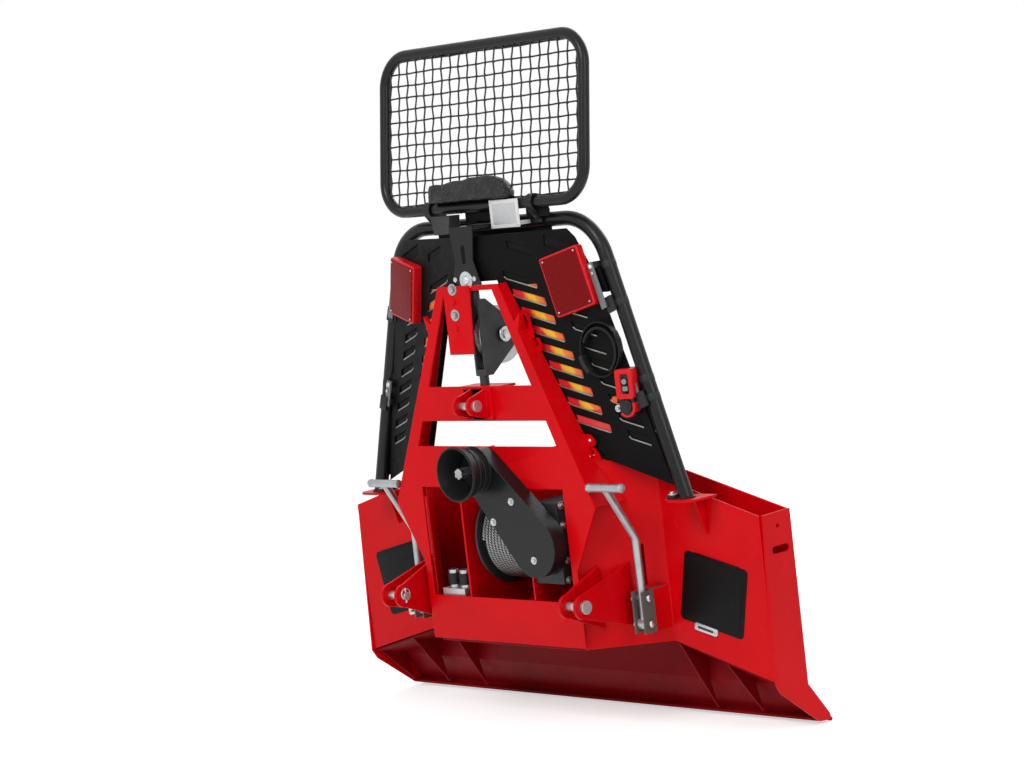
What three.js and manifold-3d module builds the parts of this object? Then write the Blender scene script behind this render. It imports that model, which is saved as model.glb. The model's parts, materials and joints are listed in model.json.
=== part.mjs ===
import * as THREE from 'three';
import { mergeVertices } from 'three/addons/utils/BufferGeometryUtils.js';
import Module from 'manifold-3d';

// A three-point-hitch forestry winch for a farm tractor, in millimetres.
// Inside the group: x to the tractor's left, y rearward from the blade's rear face, z up from the
// lip's lowest edge. The exported group moves this so that its origin is the middle of the line
// through the two lower hitch pins.

const wasm = await Module();
wasm.setup();

// Driving dimensions
const boardWidth = 1860;
const halfWidth = boardWidth / 2;
const hitchHeight = 430;
const hitchReach = 430;
const hitchSpread = 825;
const mastHeight = 610;
const plate = 8;
const panelPlate = 6;
const fit = 0.3;
const leastMitre = 0.5;
const weldReach = 1e-3;
const overrun = 20;
const roundSides = 18;
const smallSides = 10;

// The blade's outline and the wings ahead of it
const endTop = 668;
const endFold = 133;
const shoulderX = 527;
const shoulderTop = 779;
const crownX = 385;
const crownTop = 818;
const panelY = -132;
const endFrontBottom = 157;
const wingRise = 113;
const facetRun = 197;
const facetCrown = 850;
const topSlope = (shoulderTop - endTop) / (halfWidth - shoulderX);
const floorHeight = endFrontBottom + wingRise;
const bladeHalf = halfWidth - plate - fit;

// The front plane of the tower
const towerY = -345;
const towerPlate = 6;
const towerBack = towerY + towerPlate;

// The drum
const drumY = -184;
const drumZ = 600;

const colours = {
  red: [0xc8081a, 0.4, 0.1],
  darkRed: [0xa30612, 0.45, 0.1],
  black: [0x2c2d30, 0.5, 0.2],
  plastic: [0x141416, 0.6, 0],
  rubber: [0x1b1b1c, 0.85, 0],
  galvanised: [0xb9bec0, 0.42, 0.85],
  steel: [0x8d9094, 0.35, 0.9],
  rope: [0x9a9c9d, 0.45, 0.8],
  castIron: [0x4a4c50, 0.6, 0.4],
  white: [0xe6e6e4, 0.5, 0],
  lens: [0x7a0610, 0.2, 0],
  button: [0xd21420, 0.5, 0],
};

const winch = new THREE.Group();

function material(colour) {
  const [color, roughness, metalness] = colours[colour];
  return new THREE.MeshStandardMaterial({ color, roughness, metalness });
}

function part(name, geometry, colour, parent = winch) {
  const mesh = new THREE.Mesh(geometry, material(colour));
  mesh.name = name;
  parent.add(mesh);
  return mesh;
}

// Booleans on closed geometries
function solid(geometry) {
  const merged = welded(geometry);
  const vertProperties = new Float32Array(merged.attributes.position.array);
  const triVerts = new Uint32Array(merged.index.array);
  return new wasm.Manifold(new wasm.Mesh({ numProp: 3, vertProperties, triVerts }));
}

function shaped(result) {
  const mesh = result.getMesh();
  const geometry = new THREE.BufferGeometry();
  geometry.setAttribute('position', new THREE.BufferAttribute(new Float32Array(mesh.vertProperties), 3));
  geometry.setIndex(new THREE.BufferAttribute(new Uint32Array(mesh.triVerts), 1));
  return geometry;
}

function join(...pieces) {
  return shaped(pieces.map(solid).reduce((whole, piece) => whole.add(piece)));
}

function cut(base, ...tools) {
  return shaped(tools.map(solid).reduce((left, tool) => left.subtract(tool), solid(base)));
}

function common(first, second) {
  return shaped(solid(first).intersect(solid(second)));
}

// A box between two corners
function block(x0, x1, y0, y1, z0, z1) {
  const box = new THREE.BoxGeometry(Math.abs(x1 - x0), Math.abs(y1 - y0), Math.abs(z1 - z0));
  return box.translate((x0 + x1) / 2, (y0 + y1) / 2, (z0 + z1) / 2);
}

// An outline with holes, pushed along one axis between two stations
function outline(points, holes = []) {
  const edge = points.map(([a, b]) => new THREE.Vector2(a, b));
  if (THREE.ShapeUtils.isClockWise(edge)) edge.reverse();
  const shape = new THREE.Shape(edge);
  shape.holes = holes.map((hole) => new THREE.Path(hole.map(([a, b]) => new THREE.Vector2(a, b))));
  return shape;
}

function pushed(shape, depth) {
  return new THREE.ExtrudeGeometry(shape, { depth, bevelEnabled: false, curveSegments: smallSides });
}

// Outline in (y, z), thickness along x
function plateX(points, x0, x1, holes) {
  const basis = new THREE.Matrix4().makeBasis(
    new THREE.Vector3(0, 1, 0), new THREE.Vector3(0, 0, 1), new THREE.Vector3(1, 0, 0));
  return pushed(outline(points, holes), x1 - x0).applyMatrix4(basis).translate(x0, 0, 0);
}

// Outline in (x, z), thickness along y
function plateY(points, y0, y1, holes) {
  return pushed(outline(points, holes), y1 - y0).rotateX(Math.PI / 2).translate(0, y1, 0);
}

// Outline in (x, y), thickness along z
function plateZ(points, z0, z1, holes) {
  return pushed(outline(points, holes), z1 - z0).translate(0, 0, z0);
}

// A round bar along x, y or z between two stations
function bar(axis, radius, from, to, a, b, sides = roundSides) {
  const rod = new THREE.CylinderGeometry(radius, radius, Math.abs(to - from), sides);
  const middle = (from + to) / 2;
  if (axis === 'x') return rod.rotateZ(Math.PI / 2).translate(middle, a, b);
  if (axis === 'y') return rod.translate(a, middle, b);
  return rod.rotateX(Math.PI / 2).translate(a, b, middle);
}

// A closed outline turned about x, y or z: profile points are (radius, station)
function turned(axis, profile, a, b, sides = roundSides) {
  const points = [...profile, profile[0]].map(([radius, station]) => new THREE.Vector2(radius, station));
  const lathe = new THREE.LatheGeometry(points, sides);
  if (axis === 'x') return outward(lathe.rotateZ(-Math.PI / 2).translate(0, a, b));
  if (axis === 'y') return outward(lathe.translate(a, 0, b));
  return outward(lathe.rotateX(Math.PI / 2).translate(a, b, 0));
}

// The radius of a faceted bore that clears a bar of the given radius all round
function boreFor(radius, sides = roundSides) {
  return (radius + fit) / Math.cos(Math.PI / sides);
}

function ring(axis, inner, outer, from, to, a, b, sides = roundSides) {
  return turned(axis, [[inner, from], [outer, from], [outer, to], [inner, to]], a, b, sides);
}

function volume(geometry) {
  const position = geometry.attributes.position;
  const corners = geometry.index;
  const p = [new THREE.Vector3(), new THREE.Vector3(), new THREE.Vector3()];
  let sum = 0;
  for (let i = 0; i < corners.count; i += 3) {
    p.forEach((point, k) => point.fromBufferAttribute(position, corners.getX(i + k)));
    sum += p[0].dot(p[1].clone().cross(p[2]));
  }
  return sum;
}

// Shared corners made one, and faces with no area dropped
function welded(geometry) {
  const bare = geometry.clone();
  bare.deleteAttribute('normal');
  bare.deleteAttribute('uv');
  const merged = mergeVertices(bare, weldReach);
  const kept = [];
  const index = merged.index.array;
  for (let i = 0; i < index.length; i += 3) {
    const [a, b, c] = [index[i], index[i + 1], index[i + 2]];
    if (a !== b && b !== c && c !== a) kept.push(a, b, c);
  }
  merged.setIndex(kept);
  return merged;
}

// The same closed surface with its faces pointing out
function outward(geometry) {
  const merged = welded(geometry);
  if (volume(merged) < 0) merged.setIndex([...merged.index.array].reverse());
  return merged;
}

// A flat polygon in space given a thickness along an offset vector
function slab(points, offset) {
  const corners = points.map((point) => new THREE.Vector3(...point));
  const push = new THREE.Vector3(...offset);
  const count = corners.length;
  const side = corners[1].clone().sub(corners[0]).normalize();
  const normal = push.clone().normalize();
  const up = new THREE.Vector3().crossVectors(normal, side);
  const flat = corners.map((p) => new THREE.Vector2(p.dot(side), p.dot(up)));
  const faces = THREE.ShapeUtils.triangulateShape(flat, []);
  const all = [...corners, ...corners.map((p) => p.clone().add(push))];
  const index = [];
  for (const [a, b, c] of faces) index.push(a, c, b, a + count, b + count, c + count);
  const clockwise = THREE.ShapeUtils.isClockWise(flat);
  for (let i = 0; i < count; i++) {
    const j = (i + 1) % count;
    if (clockwise) index.push(j, i, i + count, j, i + count, j + count);
    else index.push(i, j, j + count, i, j + count, i + count);
  }
  const geometry = new THREE.BufferGeometry().setFromPoints(all);
  geometry.setIndex(index);
  return outward(geometry);
}

// Corners of a path rounded with arcs
function rounded(corners, radius, arcSteps, closed = false) {
  const points = corners.map((point) => new THREE.Vector3(...point));
  const path = [];
  points.forEach((corner, i) => {
    const isEnd = !closed && (i === 0 || i === points.length - 1);
    if (isEnd) {
      path.push(corner);
      return;
    }
    const before = points[(i + points.length - 1) % points.length].clone().sub(corner).normalize();
    const after = points[(i + 1) % points.length].clone().sub(corner).normalize();
    const half = before.angleTo(after) / 2;
    const reach = radius / Math.tan(half);
    const centre = before.clone().add(after).normalize().multiplyScalar(radius / Math.sin(half)).add(corner);
    const start = corner.clone().addScaledVector(before, reach).sub(centre);
    const end = corner.clone().addScaledVector(after, reach).sub(centre);
    const turn = start.angleTo(end);
    const axis = new THREE.Vector3().crossVectors(start, end).normalize();
    for (let k = 0; k <= arcSteps; k++) {
      path.push(start.clone().applyAxisAngle(axis, (turn * k) / arcSteps).add(centre));
    }
  });
  return path;
}

// A section carried along a path, in one closed tube or a closed ring
function swept(path, section, firstSide, closed = false) {
  const count = path.length;
  const sides = section.length;
  const side = new THREE.Vector3(...firstSide);
  const vertices = [];
  path.forEach((point, i) => {
    const previous = path[closed ? (i + count - 1) % count : Math.max(i - 1, 0)];
    const next = path[closed ? (i + 1) % count : Math.min(i + 1, count - 1)];
    const along = next.clone().sub(previous).normalize();
    side.addScaledVector(along, -side.dot(along)).normalize();
    const up = new THREE.Vector3().crossVectors(along, side);
    const into = i > 0 || closed ? point.clone().sub(previous).normalize() : along;
    const stretch = 1 / Math.max(along.dot(into), leastMitre);
    const bend = next.clone().sub(point).normalize().sub(into);
    if (bend.length() > 0) bend.normalize();
    for (const [a, b] of section) {
      const offset = side.clone().multiplyScalar(a).addScaledVector(up, b);
      offset.addScaledVector(bend, offset.dot(bend) * (stretch - 1));
      vertices.push(point.clone().add(offset));
    }
  });
  const index = [];
  const last = closed ? count : count - 1;
  for (let i = 0; i < last; i++) {
    const a = i * sides;
    const b = ((i + 1) % count) * sides;
    for (let k = 0; k < sides; k++) {
      const m = (k + 1) % sides;
      index.push(a + k, a + m, b + m, a + k, b + m, b + k);
    }
  }
  if (!closed) {
    for (let k = 1; k < sides - 1; k++) {
      index.push(0, k + 1, k);
      const end = (count - 1) * sides;
      index.push(end, end + k, end + k + 1);
    }
  }
  const geometry = new THREE.BufferGeometry().setFromPoints(vertices);
  geometry.setIndex(index);
  return outward(geometry);
}

function roundSection(radius, sides) {
  return Array.from({ length: sides }, (_, k) => {
    const angle = (2 * Math.PI * k) / sides;
    return [radius * Math.cos(angle), radius * Math.sin(angle)];
  });
}

// Outline helpers
function roundedRectangle(width, height, radius, centreX, centreZ, turn = 0, arcSteps = 4) {
  const points = [];
  const corners = [[1, 1], [-1, 1], [-1, -1], [1, -1]];
  corners.forEach(([sx, sz], quarter) => {
    for (let k = 0; k <= arcSteps; k++) {
      const angle = (quarter + k / arcSteps) * (Math.PI / 2);
      points.push([
        sx * (width / 2 - radius) + radius * Math.cos(angle),
        sz * (height / 2 - radius) + radius * Math.sin(angle),
      ]);
    }
  });
  const [c, s] = [Math.cos(turn), Math.sin(turn)];
  return points.map(([a, b]) => [centreX + a * c - b * s, centreZ + a * s + b * c]);
}

function circle(radius, a, b, sides = smallSides) {
  return roundSection(radius, sides).map(([p, q]) => [a + p, b + q]);
}

function mirrored(points) {
  return points.map(([a, b]) => [-a, b]).reverse();
}

// Left pieces are modelled once and copied to the right side
function flipped(geometry) {
  return outward(geometry.clone().scale(-1, 1, 1));
}

function pair(name, geometry, colour) {
  part(`left_${name}`, geometry, colour);
  part(`right_${name}`, flipped(geometry), colour);
}

// The rear blade: one plate with a folded, ground-gripping lip
const lipReach = 89;
const lipCorner = 82;
const lipCornerZ = 27;
const lipTipZ = 4;
const lipReturn = 34;
const lipReturnZ = 10;
const lipLap = 17;
const towerWindow = 150;
const towerWindowDrop = 120;

function rearBlade() {
  const back = [
    [-bladeHalf, endFold], [bladeHalf, endFold], [bladeHalf, endTop], [shoulderX, shoulderTop],
    [crownX, crownTop], [towerWindow, crownTop], [towerWindow - plate, crownTop - towerWindowDrop],
    [-towerWindow + plate, crownTop - towerWindowDrop], [-towerWindow, crownTop],
    [-crownX, crownTop], [-shoulderX, shoulderTop], [-bladeHalf, endTop],
  ];
  const lip = [
    [-plate, endFold + lipLap], [0, endFold + lipLap], [0, endFold], [lipCorner, lipCornerZ],
    [lipReach, lipTipZ], [lipReturn, lipReturnZ], [lipReturn, lipReturnZ + plate],
    [lipCorner - lipLap, lipCornerZ - plate / 2], [-plate, endFold - plate],
  ];
  return join(plateY(back, -plate, 0), plateX(lip, -bladeHalf, bladeHalf));
}
part('rear_blade', rearBlade(), 'red');

// End plates, with a lashing slot and a small hole
const slotNear = -21;
const slotFar = -95;
const slotZ = 555;
const slotHeight = 22;
const smallHoleY = -61;
const smallHoleZ = 624;
const smallHoleRadius = 7;
const endLean = 8;
const endLowY = -121;
const endLowZ = 127;

function endPlate() {
  const sheet = [
    [panelY + endLean, endTop - panelPlate / 2], [panelY - endLean, endFrontBottom], [endLowY, endLowZ],
    [lipReturn, lipReturnZ], [lipReach, lipTipZ], [lipCorner, lipCornerZ], [0, endFold], [0, endTop],
  ];
  const slot = roundedRectangle(slotNear - slotFar, slotHeight, slotHeight / 2 - fit,
    (slotNear + slotFar) / 2, slotZ);
  const hole = circle(smallHoleRadius, smallHoleY, smallHoleZ);
  return plateX(sheet, halfWidth - plate, halfWidth, [slot, hole]);
}
pair('end_plate', endPlate(), 'red');

// Front wing panels, each with one fold that brings its inner end forward to the tower
const lidTurn = -0.225;
const lidWidth = 258;
const lidHeight = 220;
const lidX = 707;
const lidZ = 421;
const lidRadius = 16;
const lidLap = 12;
const facetSlotX = 467;
const facetSlotZ = 515;
const facetSlotHeight = 126;
const facetSlotWidth = 24;
const facetInner = shoulderX - facetRun;
const facetFront = panelY - facetRun;

function frontPanel() {
  const lap = panelPlate * Math.tan(Math.PI / 8);
  const thick = panelPlate * Math.SQRT1_2;
  const plan = [
    [bladeHalf, panelY], [shoulderX, panelY], [facetInner, facetFront],
    [facetInner - thick, facetFront + thick], [shoulderX - lap, panelY + panelPlate],
    [bladeHalf, panelY + panelPlate],
  ];
  const crownTurn = (shoulderX + facetInner) / 2 - plate;
  const face = [
    [bladeHalf + overrun, endFrontBottom], [bladeHalf + overrun, endTop - topSlope * overrun],
    [bladeHalf, endTop - panelPlate / 2], [shoulderX, shoulderTop], [crownTurn, facetCrown],
    [facetInner - overrun, facetCrown + overrun], [facetInner - overrun, floorHeight],
    [shoulderX, floorHeight],
  ];
  const sheet = common(
    plateZ(plan, 0, facetCrown + 2 * overrun),
    plateY(face, facetFront - overrun, panelY + overrun));
  const door = roundedRectangle(
    lidWidth - 2 * lidLap, lidHeight - 2 * lidLap, lidRadius, lidX, lidZ, lidTurn);
  const reach = facetSlotWidth / 2;
  return cut(sheet,
    plateY(door, panelY - overrun, panelY + overrun),
    block(facetSlotX - reach, facetSlotX + reach, facetFront, panelY - overrun,
      facetSlotZ - facetSlotHeight / 2, facetSlotZ + facetSlotHeight / 2));
}
pair('front_panel', frontPanel(), 'red');

// Sloping pocket floors with the gussets that stand under them
const floorFall = 28;
const gussetPlate = 6;
const gussetShares = [0.02, 0.5, 0.97];

function pocketFloor() {
  const front = panelY + panelPlate + fit;
  const rear = -plate - fit;
  const innerX = shoulderX - panelPlate;
  const outerX = bladeHalf - fit;
  const slope = wingRise / (halfWidth - shoulderX);
  const level = (x, y) => endFrontBottom + slope * (halfWidth - x)
    - (floorFall * (y - panelY)) / -(panelY + plate);
  const floor = slab([
    [outerX, front, level(outerX, front)], [innerX, front, level(innerX, front)],
    [innerX, rear, level(innerX, rear)], [outerX, rear, level(outerX, rear)],
  ], [0, 0, -panelPlate]);
  const gussets = gussetShares.map((share) => {
    const x = innerX + share * (outerX - innerX - gussetPlate);
    return slab([
      [x, front, level(x + gussetPlate, front) - panelPlate / 2],
      [x, rear, level(x + gussetPlate, rear) - panelPlate / 2],
      [x, rear, endFold - plate - fit], [x, lipReturn / 2, 2 * lipReturnZ + plate],
    ], [gussetPlate, 0, 0]);
  });
  return join(floor, ...gussets);
}
pair('pocket_floor', pocketFloor(), 'darkRed');

// The flat bottom plate and the box beam that carries the hitch
const beamHeight = 84;
const beamDepth = 76;
const beamWall = 6;
const beamBottom = floorHeight + plate + fit;
const beamTop = beamBottom + beamHeight;
const beamHalf = facetInner - 2 * plate;

function basePlate() {
  const rear = -plate - fit;
  const foldLine = shoulderX - panelY - panelPlate * Math.SQRT2 - 2 * fit;
  const outer = shoulderX - plate;
  const corner = facetFront + plate;
  const half = [
    [outer, rear], [outer, outer - foldLine], [corner + foldLine, corner], [beamHalf, towerBack + fit],
  ];
  return plateZ([...half, ...mirrored(half)], floorHeight, floorHeight + plate);
}
part('base_plate', basePlate(), 'darkRed');

function hitchBeam() {
  const front = towerBack + fit;
  const back = front + beamDepth;
  const shell = [[front, beamBottom], [back, beamBottom], [back, beamTop], [front, beamTop]];
  const inside = [
    [front + beamWall, beamBottom + beamWall], [back - beamWall, beamBottom + beamWall],
    [back - beamWall, beamTop - beamWall], [front + beamWall, beamTop - beamWall],
  ];
  return plateX(shell, -beamHalf + plate, beamHalf - plate, [inside]);
}
part('hitch_beam', hitchBeam(), 'red');

// Lower hitch brackets: two ears and a spacer, standing ahead of the folded panels
const earPlate = 12;
const earGap = 55;
const earRadius = 38;
const earRoot = 60;
const pinRadius = 14;
const pinHeadRadius = 21;
const pinHead = 12;
const spacerPlate = 10;
const pinY = -hitchReach;
const pinZ = hitchHeight;
const pinX = hitchSpread / 2;

function hitchBracket() {
  const panelAt = (x) => panelY - (shoulderX - x);
  const ears = [pinX - earGap / 2 - earPlate, pinX + earGap / 2].map((x) => {
    const rear = panelAt(x) - fit * Math.SQRT2;
    const nose = Array.from({ length: smallSides + 1 }, (_, k) => {
      const angle = Math.PI / 2 + (Math.PI * k) / smallSides;
      return [pinY + earRadius * Math.cos(angle), pinZ + earRadius * Math.sin(angle)];
    });
    const ear = [...nose, [rear, pinZ - earRadius - earRoot], [rear, pinZ + earRadius + earRoot]];
    return plateX(ear, x, x + earPlate, [circle(boreFor(pinRadius), pinY, pinZ, roundSides)]);
  });
  const inner = pinX - earGap / 2 - earPlate / 2;
  const outer = pinX + earGap / 2 + earPlate / 2;
  const spacerY = panelAt(inner) - spacerPlate - fit * Math.SQRT2;
  const spacer = block(inner, outer, spacerY, spacerY - spacerPlate, pinZ - earRadius, pinZ + earRadius);
  return join(...ears, spacer);
}
pair('hitch_bracket', hitchBracket(), 'red');

function hitchPin() {
  const inside = pinX - earGap / 2 - earPlate;
  const outside = pinX + earGap / 2 + earPlate;
  return join(
    bar('x', pinRadius, inside - pinHead - fit, outside + pinHead, pinY, pinZ),
    bar('x', pinHeadRadius, outside + fit, outside + pinHead, pinY, pinZ));
}
pair('hitch_pin', hitchPin(), 'steel');

// The tower: an A-shaped front plate with folded sides, cross bars and a shaft boss
const topPinZ = hitchHeight + mastHeight;
const mastHead = 372;
const mastTop = topPinZ + mastHead;
const mastHalf = 139;
const legFootX = 458;
const legFootZ = 718;
const legWidth = 36;
const legFootWidth = 58;
const waistX = 350;
const waistZ = 520;
const towerBottom = beamBottom;
const mastBar = 17;
const crossBarTop = 905;
const crossBarBottom = 772;
const linkBarHalf = 55;
const linkBarTop = topPinZ + linkBarHalf;
const linkBarBottom = topPinZ - linkBarHalf;
const drumDoorX = 325;
const drumDoorBottom = 420;
const ptoZ = 838;
const ptoBore = 20;
const bossOuter = 44;
const bossReach = 12;
const wingStartX = 150;
const wingStartY = -300;
const wingTurn = 0.2013;
const swivelRadius = 15;
const shelfHalf = 92;
const swivelY = -316;
const lugHeight = 34;
const lugReach = 26;

function legAt(z) {
  return mastHalf + ((mastTop - z) * (legFootX - mastHalf)) / (mastTop - legFootZ);
}

function insideLegAt(z) {
  const share = (mastTop - z) / (mastTop - legFootZ);
  return legAt(z) - legWidth - share * (legFootWidth - legWidth);
}

function shieldLine(x) {
  return wingStartY + Math.tan(wingTurn) * (x - wingStartX);
}

function opening(top, bottom) {
  return [
    [insideLegAt(top), top], [insideLegAt(bottom), bottom],
    [-insideLegAt(bottom), bottom], [-insideLegAt(top), top],
  ];
}

function mastFrame() {
  const face = [
    [mastHalf, mastTop], [legFootX, legFootZ], [waistX, waistZ], [waistX, towerBottom],
    [-waistX, towerBottom], [-waistX, waistZ], [-legFootX, legFootZ], [-mastHalf, mastTop],
  ];
  const drumDoor = [
    [drumDoorX, crossBarBottom], [drumDoorX, drumDoorBottom],
    [-drumDoorX, drumDoorBottom], [-drumDoorX, crossBarBottom],
  ];
  const front = plateY(face, towerY, towerBack, [
    opening(mastTop - mastBar, linkBarTop), opening(linkBarBottom, crossBarTop), drumDoor,
  ]);
  const seat = (z) => legAt(z) - towerPlate;
  const shieldSeat = (z) => shieldLine(seat(z)) - 3 * fit;
  const panelSeat = (z) => panelY - (shoulderX - seat(z)) - 3 * fit;
  const stepZ = facetCrown + 2 * plate;
  const rim = [
    [mastTop, towerY + towerPlate / 2], [mastTop, shieldSeat(mastTop)], [stepZ, shieldSeat(stepZ)],
    [stepZ, panelSeat(stepZ)], [legFootZ, panelSeat(legFootZ)], [legFootZ, towerY + towerPlate / 2],
  ];
  const sides = [1, -1].map((sign) => slab(
    rim.map(([z, y]) => [sign * legAt(z), y, z]), [-sign * towerPlate, 0, 0]));
  const shelfTops = [mastTop - mastBar + plate, linkBarTop];
  const shelves = shelfTops.map((z) => block(
    -shelfHalf, shelfHalf, towerY + towerPlate / 2, swivelY + 3 * swivelRadius, z, z - plate));
  const boss = bar('y', bossOuter, towerBack, towerY - bossReach, 0, ptoZ);
  const lugs = [1, -1].map((sign) => {
    const z = (mastTop + linkBarTop) / 2 + lugHeight;
    const x = sign * legAt(z);
    return slab([
      [x - sign * plate, towerY, z], [x + sign * lugReach, towerY, z + lugHeight],
      [x + sign * lugReach, towerY, z + lugHeight - plate], [x + sign * plate, towerY, z - lugHeight],
    ], [0, 2 * plate, 0]);
  });
  const swivelBores = shelfTops.map((z) => bar(
    'z', boreFor(swivelRadius), z - overrun, z + overrun, 0, swivelY));
  return cut(
    join(front, boss, ...sides, ...shelves, ...lugs),
    bar('y', boreFor(ptoBore), towerBack + overrun, towerY - bossReach - overrun, 0, ptoZ),
    ...swivelBores);
}
part('mast_frame', mastFrame(), 'red');

// The guard hoop: one bent tube standing on two brackets at the panels' top edges
const hoopRadius = 23;
const hoopY = -200;
const hoopFootX = 704;
const hoopRise = 178;
const hoopTop = mastTop + hoopRise;
const hoopLean = 0.304;
const hoopBend = 165;
const hoopBendSteps = 7;
const bracketTop = 730;
const bracketHalf = 62;
const bracketFront = -252;
const bracketPlate = 8;
const bracketRound = 34;
const bracketGusset = 122;
const gussetReach = 42;

const hoopCornerX = hoopFootX - hoopLean * (hoopTop - bracketTop);

function hoopAt(z) {
  return hoopFootX - hoopLean * (z - bracketTop);
}

function hoopTube(radius) {
  const start = bracketTop - hoopRadius;
  const corners = [
    [-hoopAt(start), hoopY, start], [-hoopCornerX, hoopY, hoopTop],
    [hoopCornerX, hoopY, hoopTop], [hoopAt(start), hoopY, start],
  ];
  const path = rounded(corners, hoopBend, hoopBendSteps);
  return swept(path, roundSection(radius, smallSides), [0, 1, 0]);
}

function guardHoop() {
  const start = bracketTop - hoopRadius;
  const tube = hoopTube(hoopRadius);
  const trim = block(-halfWidth, halfWidth, hoopY - overrun - hoopRadius, hoopY + overrun + hoopRadius,
    start - 2 * hoopRadius, bracketTop + fit);
  return cut(tube, trim);
}
part('guard_hoop', guardHoop(), 'black');

// The rounded corner of a flat plate whose front edge faces the tractor
function corner(x, front, radius, side) {
  const steps = 3;
  const arc = Array.from({ length: steps + 1 }, (_, k) => {
    const angle = ((k / steps) * Math.PI) / 2;
    return [x + side * radius * (1 - Math.cos(angle)), front + radius * (1 - Math.sin(angle))];
  });
  return side > 0 ? arc : arc.reverse();
}

function hoopBracket() {
  const rear = panelY - fit;
  const [inner, outer] = [hoopFootX - bracketHalf, hoopFootX + bracketHalf];
  const shelf = plateZ([
    [inner, rear], ...corner(inner, bracketFront, bracketRound, 1),
    ...corner(outer, bracketFront, bracketRound, -1), [outer, rear],
  ], bracketTop - bracketPlate, bracketTop);
  const gusset = slab([
    [hoopFootX, rear, bracketTop - bracketPlate / 2],
    [hoopFootX, rear - gussetReach, bracketTop - bracketPlate / 2],
    [hoopFootX, rear - gussetReach, bracketTop - 2 * bracketPlate],
    [hoopFootX, rear - bracketPlate, bracketTop - bracketGusset],
    [hoopFootX, rear, bracketTop - bracketGusset],
  ], [bracketPlate, 0, 0]);
  return join(shelf, gusset);
}
pair('hoop_bracket', hoopBracket(), 'red');

// The waisted stay that ties the hoop's top tube to the tower's head
const stayFoot = 66;
const stayWaist = 40;
const stayHead = 56;
const stayWaistShare = 0.42;
const stayPlate = 6;
const stayArm = 10;
const staySlotHeight = 60;
const staySlotWidth = 16;

function hoopStay() {
  const foot = mastTop + fit;
  const head = hoopTop + stayArm / 2;
  const waist = foot + stayWaistShare * (head - foot);
  const flat = [
    [-stayFoot, foot], [stayFoot, foot], [stayWaist, waist], [stayHead, head],
    [-stayHead, head], [-stayWaist, waist],
  ];
  const slot = roundedRectangle(staySlotWidth, staySlotHeight, staySlotWidth / 2 - fit, 0, waist + overrun);
  const web = plateY(flat, towerY, towerY + stayPlate, [slot]);
  const arm = block(-stayHead, stayHead, towerY + stayPlate / 2, hoopY - hoopRadius - fit,
    head - stayArm, head);
  return join(web, arm);
}
part('hoop_stay', hoopStay(), 'black');

// Slotted shields from the tower's legs to the hoop, each turned a little rearward
const shieldPlate = 4;
const shieldSlot = 118;
const shieldSlotHeight = 26;
const shieldSlotFall = 0.31;
const shieldRows = 8;
const shieldTopRow = -1;
const shieldRowShift = 26;
const shieldFirstX = 152;
const shieldFirstDrop = 20;
const shieldFirstZ = mastTop - shieldFirstDrop;
const shieldFoot = 86;
const shieldRowStep = (shieldFirstZ - facetCrown - shieldFoot) / shieldRows;
const shieldColumn = 178;
const shieldOuterSlot = 84;
const shieldDrop = 28;
const shieldTop = hoopTop - shieldDrop;
const shieldEdge = 14;
const windowLeft = 290;
const windowRight = 395;
const windowTop = shieldTop - shieldEdge;
const windowHeight = 34;
const vent = 84;
const ventX = 150;
const ventDrop = 22;
const ventZ = shieldTop - ventDrop;
const tabDrops = [190, 504];
const tabSpan = 80;
const tabWidth = 44;
const tabDepth = 38;

// Places a piece modelled along the left shield's own plane
function onWing(geometry) {
  return geometry.rotateZ(wingTurn).translate(wingStartX, wingStartY, 0);
}

function along(x) {
  return (x - wingStartX) / Math.cos(wingTurn);
}

function slotAt(x, z, length, height) {
  const drop = shieldSlotFall * length;
  return [
    [along(x), z], [along(x + length), z - drop],
    [along(x + length) + height / 4, z - drop - height], [along(x) + height / 4, z - height],
  ];
}

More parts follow.
